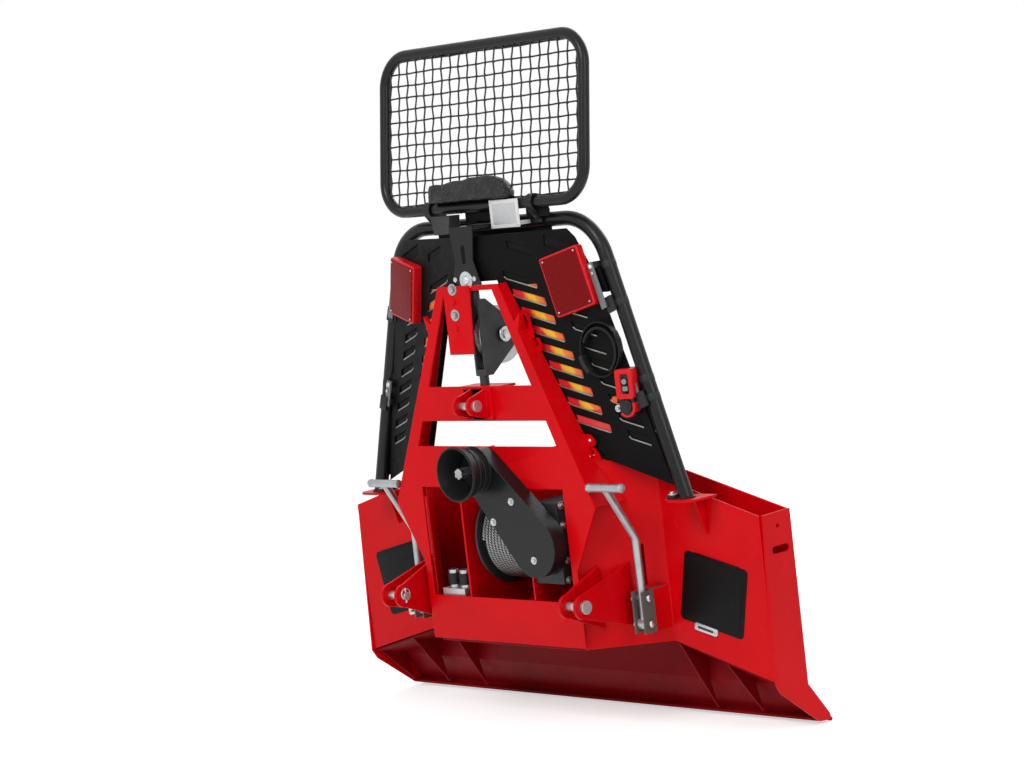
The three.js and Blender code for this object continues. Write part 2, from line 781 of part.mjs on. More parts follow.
function shieldHalf() {
  const rim = (z) => along(hoopAt(z) - hoopRadius - shieldEdge);
  const cornerZ = hoopTop - hoopBend;
  const bottomInner = facetCrown + 4 * plate;
  const bottomOuter = shoulderTop - topSlope * (hoopAt(shoulderTop) - hoopRadius - shoulderX) + 3 * plate;
  const innerAt = (z) => along(legAt(z) - legWidth);
  const edge = [
    [along(plate), shieldTop], [along(plate), mastTop + plate], [innerAt(mastTop), mastTop + plate],
    [innerAt(mastTop) + plate, mastTop - mastBar],
    [innerAt(bottomInner), bottomInner], [rim(bottomOuter), bottomOuter],
    [rim(cornerZ), cornerZ], [rim(cornerZ) - hoopBend / 3, shieldTop - hoopBend / 6],
    [rim(cornerZ) - hoopBend / 2, shieldTop],
  ];
  const holes = [];
  for (let row = shieldTopRow; row < shieldRows; row++) {
    const x = shieldFirstX + row * shieldRowShift;
    const z = shieldFirstZ - row * shieldRowStep;
    holes.push(slotAt(x, z, shieldSlot, shieldSlotHeight));
    const second = x + shieldColumn;
    const secondZ = z - shieldSlotFall * shieldColumn;
    const room = hoopAt(secondZ) - hoopRadius - 2 * shieldEdge - second;
    holes.push(slotAt(second, secondZ, Math.min(shieldOuterSlot, room), shieldSlotHeight));
  }
  holes.push(slotAt(ventX, ventZ, vent, shieldSlotHeight));
  holes.push([
    [along(windowLeft), windowTop], [along(windowRight), windowTop - windowHeight],
    [along(windowRight), windowTop - 2 * windowHeight], [along(windowLeft), windowTop - windowHeight],
  ]);
  const tabs = tabDrops.map((drop) => {
    const [low, high] = [hoopTop - drop - tabSpan / 2, hoopTop - drop + tabSpan / 2];
    const inside = (level) => hoopAt(level) - hoopRadius / 2;
    return plateY([
      [along(inside(high) - tabWidth), high], [along(inside(high)), high],
      [along(inside(low)), low], [along(inside(low) - tabWidth), low],
    ], 0, tabDepth);
  });
  const sheet = cut(plateY(edge, 0, shieldPlate), ...holes.map((hole) => plateY(hole, -overrun, overrun)));
  const panel = onWing(join(sheet, ...tabs));
  return cut(panel, hoopTube(boreFor(hoopRadius, smallSides)));
}
pair('shield', shieldHalf(), 'plastic');

// Side lamps on the shields, turned a little in the shield's plane
const lampWidth = 148;
const lampHeight = 190;
const lampDepth = 34;
const lampTurn = 0.25;
const lampRadius = 8;
const lampDrop = 10;
const lampGap = 26.5;
const lampZ = mastTop - lampDrop;
const lampX = hoopAt(lampZ) - hoopRadius - lampGap - lampWidth / 2;

function sideLamp() {
  const face = roundedRectangle(lampWidth, lampHeight, lampRadius, along(lampX), lampZ, lampTurn, 2);
  return onWing(plateY(face, -lampDepth - fit, -fit));
}
pair('side_lamp', sideLamp(), 'lens');

// The work lamp on a short arm from the hoop's top tube
const workLampX = -138;
const workLampHalf = 46;
const workLampFoot = 34;
const workLampHeight = 58;
const workLampFront = -302;
const workLampDepth = 46;
const workLampArm = 11;
const workLampZ = hoopTop + workLampArm;

function workLamp() {
  const top = workLampZ + workLampHeight / 2;
  const bottom = workLampZ - workLampHeight / 2;
  const face = [
    [workLampX - workLampHalf, top], [workLampX + workLampHalf, top],
    [workLampX + workLampFoot, bottom], [workLampX - workLampFoot, bottom],
  ];
  const body = plateY(face, workLampFront, workLampFront + workLampDepth);
  const arm = block(workLampX - workLampArm, workLampX + workLampArm,
    workLampFront + workLampDepth / 2, hoopY - hoopRadius - fit, hoopTop - workLampArm, hoopTop + workLampArm);
  return join(body, arm);
}
part('work_lamp', workLamp(), 'castIron');

// The mesh guard: a bent tube frame that folds rearward about its lower rail
const guardTube = 18;
const guardHalf = 460;
const guardLift = 60;
const guardBottom = hoopTop + guardLift;
const guardRise = 500;
const guardY = -245;
const guardLean = 0.1489;
const guardBend = 100;
const guardBendSteps = 5;
const netWire = 4.5;
const netColumns = 18;
const netRows = 10;
const hingeX = 236;
const hingeWidth = 30;
const hingeRing = 9;
const jawFloor = 6;
const notchShare = 0.6;
const jawStartShare = 0.15;

// Places a piece modelled upright on the lower rail's axis into the leaning guard
function onGuard(geometry) {
  return geometry.rotateX(-guardLean).translate(0, guardY, guardBottom);
}

function guardFrame() {
  const length = guardRise / Math.cos(guardLean);
  const corners = [
    [-guardHalf, 0, 0], [guardHalf, 0, 0], [guardHalf, 0, length], [-guardHalf, 0, length],
  ];
  const path = rounded(corners, guardBend, guardBendSteps, true);
  return onGuard(swept(path, roundSection(guardTube, smallSides), [0, 1, 0], true));
}

function guardNet() {
  const length = guardRise / Math.cos(guardLean);
  const inset = guardTube + fit;
  const [width, height] = [2 * (guardHalf - inset), length - 2 * inset];
  const radius = guardBend - inset;
  const rim = roundedRectangle(width, height, radius, 0, length / 2, 0, guardBendSteps);
  const [stepX, stepZ] = [width / netColumns, height / netRows];
  const isInside = (x, z) => {
    const dx = Math.abs(x) - (width / 2 - radius);
    const dz = Math.abs(z - length / 2) - (height / 2 - radius);
    return dx < 0 || dz < 0 || Math.hypot(dx, dz) < radius - netWire;
  };
  const gaps = [];
  for (let column = 0; column < netColumns; column++) {
    for (let row = 0; row < netRows; row++) {
      const left = -width / 2 + column * stepX + netWire / 2;
      const bottom = inset + row * stepZ + netWire / 2;
      const right = left + stepX - netWire;
      const top = bottom + stepZ - netWire;
      const corners = [[left, bottom], [right, bottom], [right, top], [left, top]];
      const kept = corners.filter(([x, z]) => isInside(x, z));
      if (kept.length > 2) gaps.push(kept);
    }
  }
  const sheet = plateY(rim, -netWire / 2, netWire / 2);
  const punches = pushed(gaps.map((gap) => outline(gap)), 2 * netWire).rotateX(Math.PI / 2);
  const notches = [-hingeX, hingeX].map((x) => block(x - hingeWidth * notchShare, x + hingeWidth * notchShare,
    -overrun, overrun, 0, 2 * guardTube));
  return onGuard(cut(sheet, punches.translate(0, netWire, 0), ...notches));
}
part('mesh_guard_frame', guardFrame(), 'black');
part('mesh_guard_net', guardNet(), 'castIron');

// The two hinge clamps between the hoop's top tube and the guard's lower rail
function guardHinge() {
  const reach = guardTube + hingeRing;
  const seat = hoopRadius + hingeRing;
  const jaws = [
    ...Array.from({ length: smallSides / 2 + 1 }, (_, k) => {
      const angle = jawStartShare * Math.PI + (Math.PI * k * 2) / smallSides;
      return [guardY + reach * Math.cos(angle), guardBottom + reach * Math.sin(angle)];
    }),
    [hoopY - seat, hoopTop + jawFloor], [hoopY - seat, hoopTop - jawFloor],
    [hoopY, hoopTop - jawFloor], [hoopY + hingeRing, hoopTop + seat],
  ];
  const body = plateX(jaws, hingeX - hingeWidth / 2, hingeX + hingeWidth / 2);
  return cut(body,
    bar('x', boreFor(guardTube), hingeX - hingeWidth, hingeX + hingeWidth, guardY, guardBottom),
    bar('x', boreFor(hoopRadius), hingeX - hingeWidth, hingeX + hingeWidth, hoopY, hoopTop));
}
pair('guard_hinge', guardHinge(), 'steel');

// The moulded pad on the guard's lower rail, ahead of the net
const padLeft = -212;
const padRight = 160;
const padHeight = 70;
const padDepth = 40;
const padShares = [0, 0.3, 0.58, 0.82, 0.95, 1];
const padTopShares = [0.72, 0.86, 1, 0.98, 0.7, 0.15];

function guardPad() {
  const floor = guardTube + fit;
  const crest = padShares.map((share, i) => [
    padLeft + share * (padRight - padLeft), floor + padTopShares[i] * padHeight]);
  const back = -netWire / 2 - fit;
  return onGuard(plateY([[padRight, floor], [padLeft, floor], ...crest], back - padDepth, back));
}
part('guard_pad', guardPad(), 'rubber');

// The bare plate clipped over the hoop's top tube
const labelLeft = 62;
const labelRight = 192;
const labelHeight = 88;
const labelFront = -270;
const labelSheet = 3;
const labelFlange = 12;
const labelBottom = hoopTop - labelFlange;
const labelTop = labelBottom + labelHeight;

function labelPlate() {
  const sheet = block(labelLeft, labelRight, labelFront, labelFront + labelSheet, labelBottom, labelTop);
  const flange = block(labelLeft, labelRight, labelFront, hoopY - hoopRadius - fit,
    hoopTop - labelFlange / 2, hoopTop + labelFlange / 2);
  return join(sheet, flange);
}
part('label_plate', labelPlate(), 'white');

// The bolted cover on the tower's head
const coverLeft = -108;
const coverRight = 15;
const coverLift = 101;
const coverBottom = linkBarTop + coverLift;
const coverPlate = 6;
const boltRadius = 9;
const boltHead = 6;
const boltX = -62;
const boltInset = 50;
const boltPitch = 81;

function mastCover() {
  const front = towerY - fit;
  const face = [
    [coverLeft, coverBottom], [coverRight - 2 * coverPlate, coverBottom],
    [coverRight, mastTop], [coverLeft, mastTop],
  ];
  const bolts = [mastTop - boltInset, mastTop - boltInset - boltPitch].map((z) => bar(
    'y', boltRadius, front, front - coverPlate - boltHead, boltX, z, 6));
  return join(plateY(face, front - coverPlate, front), ...bolts);
}
part('mast_cover', mastCover(), 'red');

// The top-link bracket and its pin
const topEarRadius = 32;
const topEarPlate = 12;
const topEarGap = 52;
const topPinRadius = 12.5;
const topPinY = -402;
const topBase = 10;
const topBaseHalf = 62;
const topBaseHeight = 96;

function topLinkBracket() {
  const rear = towerY - fit;
  const nose = Array.from({ length: smallSides + 1 }, (_, k) => {
    const angle = Math.PI / 2 + (Math.PI * k) / smallSides;
    return [topPinY + topEarRadius * Math.cos(angle), topPinZ + topEarRadius * Math.sin(angle)];
  });
  const ears = [topEarGap / 2, -topEarGap / 2 - topEarPlate].map((x) => plateX(
    [...nose, [rear - topBase / 2, topPinZ - topBaseHeight / 2],
      [rear - topBase / 2, topPinZ + topBaseHeight / 2]],
    x, x + topEarPlate, [circle(boreFor(topPinRadius), topPinY, topPinZ, roundSides)]));
  const base = block(-topBaseHalf, topBaseHalf, rear - topBase, rear,
    topPinZ - topBaseHeight / 2, topPinZ + topBaseHeight / 2);
  return join(base, ...ears);
}
part('top_link_bracket', topLinkBracket(), 'red');

function topLinkPin() {
  const end = topEarGap / 2 + topEarPlate;
  return join(
    bar('x', topPinRadius, -end - pinHead, end + pinHead, topPinY, topPinZ),
    bar('x', topPinRadius + coverPlate, end + fit, end + pinHead, topPinY, topPinZ));
}
part('top_link_pin', topLinkPin(), 'steel');

// The swivelling upper pulley in the tower's head
const pulleyRadius = 92;
const ropeDiameter = 12;
const groovePitch = 81;
const pulleyHalf = 13;
const pulleyAxle = 16;
const pulleyRise = 150;
const pulleyZ = linkBarTop + pulleyRise;
const pulleyY = swivelY + groovePitch;
const cheekGap = 3;
const cheekPlate = 8;
const cheekFront = 12;
const headReach = 120;
const hubReach = 40;
const bridge = 20;
const trunnionBore = 9;

function sheave(radius, half, bore, grooveDepth, y, z) {
  const shoulder = half - grooveDepth / 4;
  const profile = [
    [bore, -half], [radius, -half], [radius, -shoulder], [radius - grooveDepth, -ropeDiameter / 4],
    [radius - grooveDepth, ropeDiameter / 4], [radius, shoulder], [radius, half], [bore, half],
  ];
  return turned('x', profile, y, z);
}

function pulleyHead() {
  const inner = pulleyHalf + cheekGap;
  const cheek = [
    [swivelY - cheekFront, pulleyZ - headReach], [swivelY + bridge, pulleyZ - headReach],
    [pulleyY + hubReach, pulleyZ - hubReach], [pulleyY + hubReach, pulleyZ + hubReach],
    [swivelY + bridge, pulleyZ + headReach], [swivelY - cheekFront, pulleyZ + headReach],
  ];
  const cheeks = [inner, -inner - cheekPlate].map((x) => plateX(cheek, x, x + cheekPlate));
  const outer = inner + cheekPlate;
  const top = block(-outer, outer, swivelY - cheekFront, swivelY + bridge,
    pulleyZ + headReach - bridge, pulleyZ + headReach);
  const foot = block(-outer, outer, swivelY - cheekFront, swivelY + bridge,
    pulleyZ - headReach, pulleyZ - headReach + bridge);
  const upperPin = bar('z', swivelRadius, pulleyZ + headReach - bridge / 2, mastTop - plate, 0, swivelY);
  const lowerPin = bar('z', swivelRadius,
    linkBarTop - 2 * plate, pulleyZ - headReach + bridge / 2, 0, swivelY);
  const axle = bar('x', pulleyAxle, -outer - plate, outer + plate, pulleyY, pulleyZ);
  const throat = bar('z', trunnionBore, linkBarTop - 3 * plate, pulleyZ - headReach + 2 * bridge, 0, swivelY);
  return cut(join(...cheeks, top, foot, upperPin, lowerPin, axle), throat);
}
part('pulley_head', pulleyHead(), 'castIron');
part('upper_pulley',
  sheave(pulleyRadius, pulleyHalf, boreFor(pulleyAxle),
    pulleyRadius - groovePitch + ropeDiameter / 2, pulleyY, pulleyZ),
  'steel');

// Side plates that carry the drum's shaft
const shaftRadius = 25;
const leftPlateX = 136;
const rightPlateX = -160;
const plateTop = 880;

function drumPlate(x) {
  const front = towerBack + fit;
  const rear = -plate - fit;
  const bottom = beamTop + fit;
  return plateX([
    [front, bottom], [rear, bottom], [rear, plateTop - towerWindowDrop],
    [front / 2, plateTop], [front, plateTop]],
    x, x + plate, [circle(boreFor(shaftRadius), drumY, drumZ, roundSides)]);
}
part('left_drum_plate', drumPlate(leftPlateX), 'red');
part('right_drum_plate', drumPlate(rightPlateX), 'red');

// The drum with its brake rim, and the rope's outer layer on it
const drumHalf = 95;
const flangeRadius = 158;
const ropeCore = 127.5;
const brakeRadius = 120;
const brakeWidth = 40;
const clutchRadius = 100;
const clutchWidth = 18;
const ropeTurns = 12;
const ropePitch = 14.4;
const turnSteps = 16;
const ropeSides = 6;

function ropeDrum() {
  const edge = drumHalf + plate;
  const bore = boreFor(shaftRadius, 2 * roundSides);
  return turned('x', [
    [bore, -edge - brakeWidth], [brakeRadius, -edge - brakeWidth], [brakeRadius, -edge],
    [flangeRadius, -edge], [flangeRadius, -drumHalf], [ropeCore, -drumHalf], [ropeCore, drumHalf],
    [flangeRadius, drumHalf], [flangeRadius, edge], [clutchRadius, edge],
    [clutchRadius, edge + clutchWidth], [bore, edge + clutchWidth],
  ], drumY, drumZ, 2 * roundSides);
}
part('drum', ropeDrum(), 'castIron');

function ropePath() {
  const ropeFlat = (ropeDiameter / 2) * Math.cos(Math.PI / ropeSides);
  const layer = (ropeCore + ropeFlat + 2 * fit) / Math.cos(Math.PI / turnSteps);
  const start = (-ropeTurns * ropePitch) / 2;
  const points = [];
  for (let step = 0; step <= ropeTurns * turnSteps; step++) {
    const angle = (2 * Math.PI * step) / turnSteps;
    points.push(new THREE.Vector3(
      start + (ropePitch * step) / turnSteps,
      drumY - layer * Math.cos(angle), drumZ + layer * Math.sin(angle)));
  }
  const first = points[0].clone().sub(points[1]).setLength(ropeDiameter).add(points[0]);
  const end = points[points.length - 1];
  const last = end.clone().sub(points[points.length - 2]).setLength(ropeDiameter).add(end);
  return [first, ...points, last];
}

function leastGap(path, skip, diameter) {
  let least = Infinity;
  path.forEach((point, i) => {
    for (let k = i + skip; k < path.length; k++) least = Math.min(least, point.distanceTo(path[k]));
  });
  return least - diameter;
}
const ropeRoute = ropePath();
const ropeGap = leastGap(ropeRoute, turnSteps / 2, ropeDiameter);
console.log(`rope winding: least gap to itself ${ropeGap.toFixed(2)} mm`);
part('rope_winding', swept(ropeRoute, roundSection(ropeDiameter / 2, ropeSides), [1, 0, 0]), 'rope');

// The drum's shaft, its brake band and the gears that turn it
const shaftLeft = 206;
const shaftRight = -176;
const bandThickness = 4.5;
const bandGap = 0.6;
const bandInset = 4;
const anchorHalf = 16;
const crownHub = 46;
const crownHubStart = 152;
const crownHubEnd = 186;
const crownStart = 166;
const crownTip = 110;
const crownTeeth = 24;
const pinionTeeth = 8;
const pinionTip = 38;
const pinionX = 224.5;
const pinionShaftRadius = 17;
const toothDepthShare = 0.12;
const caseRight = 272;
const caseFront = -330;
const caseRear = -60;
const caseHalf = 128;
const caseWall = 8;

part('drum_shaft', join(
  bar('x', shaftRadius, shaftRight, shaftLeft, drumY, drumZ),
  bar('x', shaftRadius + coverPlate, shaftRight, rightPlateX - fit, drumY, drumZ)), 'steel');

function brakeBand() {
  const left = -drumHalf - plate - bandInset;
  const right = -drumHalf - plate - brakeWidth + bandInset;
  const inner = brakeRadius + bandGap;
  const loop = ring('x', inner, inner + bandThickness, right, left, drumY, drumZ, 2 * roundSides);
  const foot = drumZ - inner - bandThickness / 2;
  const anchor = block(rightPlateX + plate + fit, (left + right) / 2, drumY - anchorHalf, drumY + anchorHalf,
    foot - anchorHalf, foot);
  return join(loop, anchor);
}
part('brake_band', brakeBand(), 'castIron');

// A toothed outline about a centre
const gearShares = [0.18, 0.32, 0.68, 0.82];

function toothed(teeth, tip, depth, a, b, shares) {
  const points = [];
  for (let tooth = 0; tooth < teeth; tooth++) {
    shares.forEach((share, k) => {
      const radius = k === 1 || k === 2 ? tip : tip - depth;
      const angle = ((tooth + share) * 2 * Math.PI) / teeth;
      points.push([a + radius * Math.cos(angle), b + radius * Math.sin(angle)]);
    });
  }
  return points;
}

function crownWheel() {
  const wheel = plateX(toothed(crownTeeth, crownTip, toothDepthShare * crownTip, drumY, drumZ, gearShares),
    crownStart, crownHubEnd, [circle(crownHub - plate, drumY, drumZ, roundSides)]);
  return join(wheel, ring('x', boreFor(shaftRadius), crownHub, crownHubStart, crownHubEnd, drumY, drumZ));
}
part('crown_wheel', crownWheel(), 'steel');

function gearboxCase() {
  const left = leftPlateX + plate + fit;
  const shell = block(left, caseRight, caseFront, caseRear, drumZ - caseHalf, drumZ + caseHalf);
  const hollow = block(left - overrun, caseRight - caseWall, caseFront + caseWall, caseRear - caseWall,
    drumZ - caseHalf + caseWall, drumZ + caseHalf - caseWall);
  const collar = ring('y', pinionShaftRadius, pinionShaftRadius + caseWall,
    caseFront, caseFront + 3 * caseWall,
    pinionX, drumZ);
  const bore = bar('y', boreFor(pinionShaftRadius),
    caseFront - overrun, caseFront + 4 * caseWall, pinionX, drumZ);
  return cut(join(cut(shell, hollow), collar), bore);
}
part('gearbox_case', gearboxCase(), 'castIron');

// The input: a splined stub and small sprocket, a roller chain, and the pinion's large sprocket
const chainPitch = 19.05;
const smallTeeth = 13;
const largeTeeth = 23;
const sprocketHalf = 4;
const chainY = -368;
const linkHalf = 9;
const linkPlate = 3;
const rollerRadius = 5.9;
const splineTeeth = 6;
const splineRadius = 17.5;
const splineDepth = 2.7;
const sprocketShares = [0.12, 0.4, 0.6, 0.88];
const splineShares = [0.22, 0.26, 0.74, 0.78];
const chainClearShares = [2, 2.4];
const guardFront = -402;
const stubEnd = -472;
const stubCollar = 27;

function pitchRadius(teeth) {
  return chainPitch / (2 * Math.sin(Math.PI / teeth));
}

function sprocket(teeth, a, b) {
  const tip = pitchRadius(teeth) + rollerRadius / 2;
  const edge = toothed(teeth, tip, 1.5 * rollerRadius, a, b, sprocketShares);
  return plateY(edge, chainY - sprocketHalf, chainY + sprocketHalf);
}

part('pto_shaft', join(
  bar('y', ptoBore, towerBack + coverPlate, guardFront, 0, ptoZ),
  bar('y', stubCollar, towerBack + fit, towerBack + coverPlate, 0, ptoZ),
  sprocket(smallTeeth, 0, ptoZ),
  plateY(toothed(splineTeeth, splineRadius, splineDepth, 0, ptoZ, splineShares),
    stubEnd, guardFront + coverPlate)), 'steel');

part('pinion_shaft', join(
  bar('y', pinionShaftRadius, chainY - sprocketHalf - plate, drumY - crownHub, pinionX, drumZ),
  sprocket(largeTeeth, pinionX, drumZ),
  plateY(toothed(pinionTeeth, pinionTip, toothDepthShare * crownTip, pinionX, drumZ, gearShares),
    drumY - crownTip, drumY - crownTip + pinionTip)), 'steel');

// The outline of a belt round both sprockets, moved out from the pitch line
function beltLoop(grow, arcSteps) {
  const [r1, r2] = [pitchRadius(smallTeeth), pitchRadius(largeTeeth)];
  const across = Math.hypot(pinionX, ptoZ - drumZ);
  const bearing = Math.atan2(drumZ - ptoZ, pinionX);
  const flare = Math.acos((r1 - r2) / across);
  const arc = (x, z, radius, from, to) => Array.from({ length: arcSteps + 1 }, (_, k) => {
    const angle = from + ((to - from) * k) / arcSteps;
    return [x + (radius + grow) * Math.cos(angle), z + (radius + grow) * Math.sin(angle)];
  });
  return [
    ...arc(0, ptoZ, r1, bearing + flare, bearing - flare + 2 * Math.PI),
    ...arc(pinionX, drumZ, r2, bearing - flare, bearing + flare),
  ];
}

function driveChain() {
  const steps = 10;
  const [outer, inner] = [beltLoop(linkHalf, steps), beltLoop(-linkHalf, steps)];
  const near = chainY + sprocketHalf + 2 * fit;
  const far = chainY - sprocketHalf - 2 * fit;
  const bands = [plateY(outer, near, near + linkPlate, [inner]), plateY(outer, far - linkPlate, far, [inner])];
  const middle = beltLoop(0, steps);
  const spans = [[middle[steps], middle[steps + 1]], [middle[middle.length - 1], middle[0]]];
  const rollers = spans.flatMap(([a, b], side) => {
    const length = Math.hypot(b[0] - a[0], b[1] - a[1]);
    const clear = side === 0 ? chainClearShares : chainClearShares.toReversed();
    const count = Math.floor(length / chainPitch - clear[0] - clear[1]);
    return Array.from({ length: count }, (_, k) => {
      const share = ((k + clear[0]) * chainPitch) / length;
      return bar('y', rollerRadius, far - linkPlate / 2, near + linkPlate / 2,
        a[0] + share * (b[0] - a[0]), a[1] + share * (b[1] - a[1]), 6);
    });
  });
  return join(...bands, ...rollers);
}
part('drive_chain', driveChain(), 'steel');

const guardMargin = 22;
const guardWall = 4;
const shroudInner = 62;
const shroudFlare = 82;
const shroudFlange = 78;
const shroudEnd = -486;

function chainGuard() {
  const rear = towerY - fit;
  const shell = plateY(beltLoop(guardMargin + guardWall, smallSides), guardFront, rear);
  const hollow = plateY(beltLoop(guardMargin, smallSides), guardFront + guardWall, rear + overrun);
  return cut(shell, hollow, bar('y', boreFor(ptoBore), guardFront - overrun, guardFront + overrun, 0, ptoZ));
}
part('chain_guard', chainGuard(), 'black');

part('pto_guard', turned('y', [
  [shroudInner, guardFront - fit], [shroudFlange, guardFront - fit], [shroudFlange, guardFront - guardWall],
  [shroudInner + guardWall, guardFront - guardWall], [shroudFlare + guardWall, shroudEnd],
  [shroudFlare, shroudEnd], [shroudInner, guardFront - 2 * guardWall],
], 0, ptoZ), 'plastic');

// The hydraulic valve block on the hitch beam
const valveX = -244;
const valveHalf = 52;
const valveDepth = 64;
const valveHeight = 78;
const solenoidRadius = 17;
const solenoidHeight = 56;
const portRadius = 10;
const portReach = 16;

function valveBlock() {
  const bottom = beamTop + fit;
  const front = towerBack + coverPlate;
  const rear = front + valveDepth;
  const top = bottom + valveHeight;
  const middle = (front + rear) / 2;
  const solenoids = [-1, 1].map((side) => bar('z', solenoidRadius, top - plate, top + solenoidHeight,
    valveX + side * (valveHalf / 2), middle, smallSides));
  const ports = [-1, 1].map((side) => bar('y', portRadius, rear - plate, rear + portReach,
    valveX + side * (valveHalf / 2), bottom + valveHeight / 2, 6));
  const body = block(valveX - valveHalf, valveX + valveHalf, front, rear, bottom, top);
  return join(body, ...solenoids, ...ports);
}
part('valve_block', valveBlock(), 'galvanised');

// The lower pulley behind the blade
const lowerZ = 268;
const lowerReach = 84;
const lowerRadius = 58;
const lowerBase = 56;
const lowerBaseHeight = 128;
const lowerCheek = 8;
const lowerAxle = 12;

function lowerPulleyBracket() {
  const [bottom, top] = [lowerZ - lowerBaseHeight / 2, lowerZ + lowerBaseHeight / 2];
  const base = block(-lowerBase, lowerBase, fit, lowerCheek, bottom, top);
  const inner = pulleyHalf + cheekGap;
  const nose = Array.from({ length: smallSides + 1 }, (_, k) => {
    const angle = -Math.PI / 2 + (Math.PI * k) / smallSides;
    return [lowerReach + 2 * lowerAxle * Math.cos(angle), lowerZ + 2 * lowerAxle * Math.sin(angle)];
  });
  const cheek = [...nose, [lowerCheek / 2, top], [lowerCheek / 2, bottom]];
  const cheeks = [inner, -inner - lowerCheek].map((x) => plateX(cheek, x, x + lowerCheek));
  const axle = bar('x', lowerAxle, -inner - 2 * lowerCheek, inner + 2 * lowerCheek, lowerReach, lowerZ);
  return join(base, ...cheeks, axle);
}
part('lower_pulley_bracket', lowerPulleyBracket(), 'red');
part('lower_pulley',
  sheave(lowerRadius, pulleyHalf, boreFor(lowerAxle), 1.5 * ropeDiameter, lowerReach, lowerZ), 'steel');

// Parking legs folded up ahead of the panels, each in a channel bracket
const legX = 510;
const legRadius = 13;
const legPivotZ = 345;
const legPivotY = -240;
const legKnee = 262;
const legTopRise = 435;
const legLean = 0.545;
const footHalf = 72;
const eyeRadius = 18;
const legPinRadius = 8;
const channelHalf = 23;
const channelWall = 6;
const channelTop = 446;
const channelBottom = 316;
const channelFront = -264;
const channelBack = -212;
const channelPost = 14;

function legBracket() {
  const behind = (x) => Math.min(panelY, panelY - (shoulderX - x)) - 2 * fit;
  const [left, right] = [legX - channelHalf, legX + channelHalf];
  const [postLeft, postRight] = [legX - channelPost, legX + channelPost];
  const plan = [
    [left, channelFront], [left + channelWall, channelFront], [left + channelWall, channelBack - channelWall],
    [right - channelWall, channelBack - channelWall], [right - channelWall, channelFront],
    [right, channelFront], [right, channelBack], [postRight, channelBack], [postRight, behind(postRight)],
    [postLeft, behind(postLeft)], [postLeft, channelBack], [left, channelBack],
  ];
  const channel = plateZ(plan, channelBottom, channelTop);
  return join(channel, bar('x', legPinRadius, left - channelWall, right + channelWall, legPivotY, legPivotZ));
}
pair('leg_bracket', legBracket(), 'galvanised');

function parkingLeg() {
  const top = legPivotZ + legTopRise;
  const knee = legPivotZ + legKnee;
  const topY = legPivotY - Math.tan(legLean) * (top - knee);
  const path = rounded([
    [legX, legPivotY, legPivotZ], [legX, legPivotY, knee], [legX, topY, top],
  ], 2 * legRadius + eyeRadius, 3);
  const eyeHalf = channelHalf - channelWall - 3 * fit;
  const shank = swept(path, roundSection(legRadius, smallSides), [1, 0, 0]);
  const foot = bar('x', legRadius, legX - footHalf, legX + footHalf, topY, top, smallSides);
  const eye = bar('x', eyeRadius, legX - eyeHalf, legX + eyeHalf, legPivotY, legPivotZ);
  return cut(join(shank, foot, eye),
    bar('x', boreFor(legPinRadius), legX - 2 * channelHalf, legX + 2 * channelHalf, legPivotY, legPivotZ));
}
pair('parking_leg', parkingLeg(), 'galvanised');

// Storage lids over the panel doors, hinged at the upper edge with a catch at the lower
const lidPlate = 4;
const lidBarrel = 5;
const lidBarrelHalf = 90;
const catchShift = 62;
const catchHalf = 47;
const catchHeight = 20;
const catchDepth = 9;

function storageLid() {
  const rear = panelY - fit;
  const cover = plateY(
    roundedRectangle(lidWidth, lidHeight, lidRadius, lidX, lidZ, lidTurn), rear - lidPlate, rear);
  const lower = -lidHeight / 2 - catchHeight / 4;
  const [c, s] = [Math.cos(lidTurn), Math.sin(lidTurn)];
  const grip = plateY(
    roundedRectangle(2 * catchHalf, catchHeight, lidBarrel, lidX + catchShift * c - lower * s,
      lidZ + catchShift * s + lower * c, lidTurn, 2),
    rear - catchDepth, rear);
  const barrel = bar('x', lidBarrel, -lidBarrelHalf, lidBarrelHalf, 0, 0, smallSides)
    .rotateY(-lidTurn).translate(lidX - (lidHeight / 2) * s, rear - lidBarrel, lidZ + (lidHeight / 2) * c);
  return join(cover, grip, barrel);
}
pair('storage_lid', storageLid(), 'plastic');

// The hand controller and its strap, hung on the left shield
const controllerWidth = 54;
const controllerHeight = 142;
const controllerDepth = 34;
const controllerRadius = 12;
const controllerDrop = 357;
const controllerGap = 12.2;
const controllerZ = mastTop - controllerDrop;
const controllerX = hoopAt(controllerZ) - hoopRadius - controllerGap - controllerWidth / 2;
const buttonRadius = 9;
const buttonProud = 4;
const buttonSeat = 8;
const buttonTravel = 2.5;
const buttonShares = [0.24, -0.06];
const buttonNames = ['pull_button', 'release_button'];

const controllerFront = -controllerDepth - fit;
const controllerFace = roundedRectangle(
  controllerWidth, controllerHeight, controllerRadius, along(controllerX), controllerZ, 0, 2);
const buttonWells = buttonShares.map((share) => bar(
  'y', boreFor(buttonRadius, smallSides), controllerFront - overrun,
  controllerFront + buttonSeat, along(controllerX), controllerZ + share * controllerHeight, smallSides));
part('hand_controller', onWing(cut(plateY(controllerFace, controllerFront, -fit), ...buttonWells)), 'plastic');
buttonShares.forEach((share, i) => {
  const button = bar('y', buttonRadius,
    controllerFront - buttonProud, controllerFront + buttonSeat - buttonTravel - fit,
    along(controllerX), controllerZ + share * controllerHeight, smallSides);
  part(buttonNames[i], onWing(button), 'button');
});

const strapShift = 82;
const strapLift = 134;
const strapX = controllerX - strapShift;
const strapZ = controllerZ + strapLift;
const strapAcross = 70;
const strapTall = 84;
const strapWidth = 24;
const strapSheet = 4;
const strapSteps = 20;

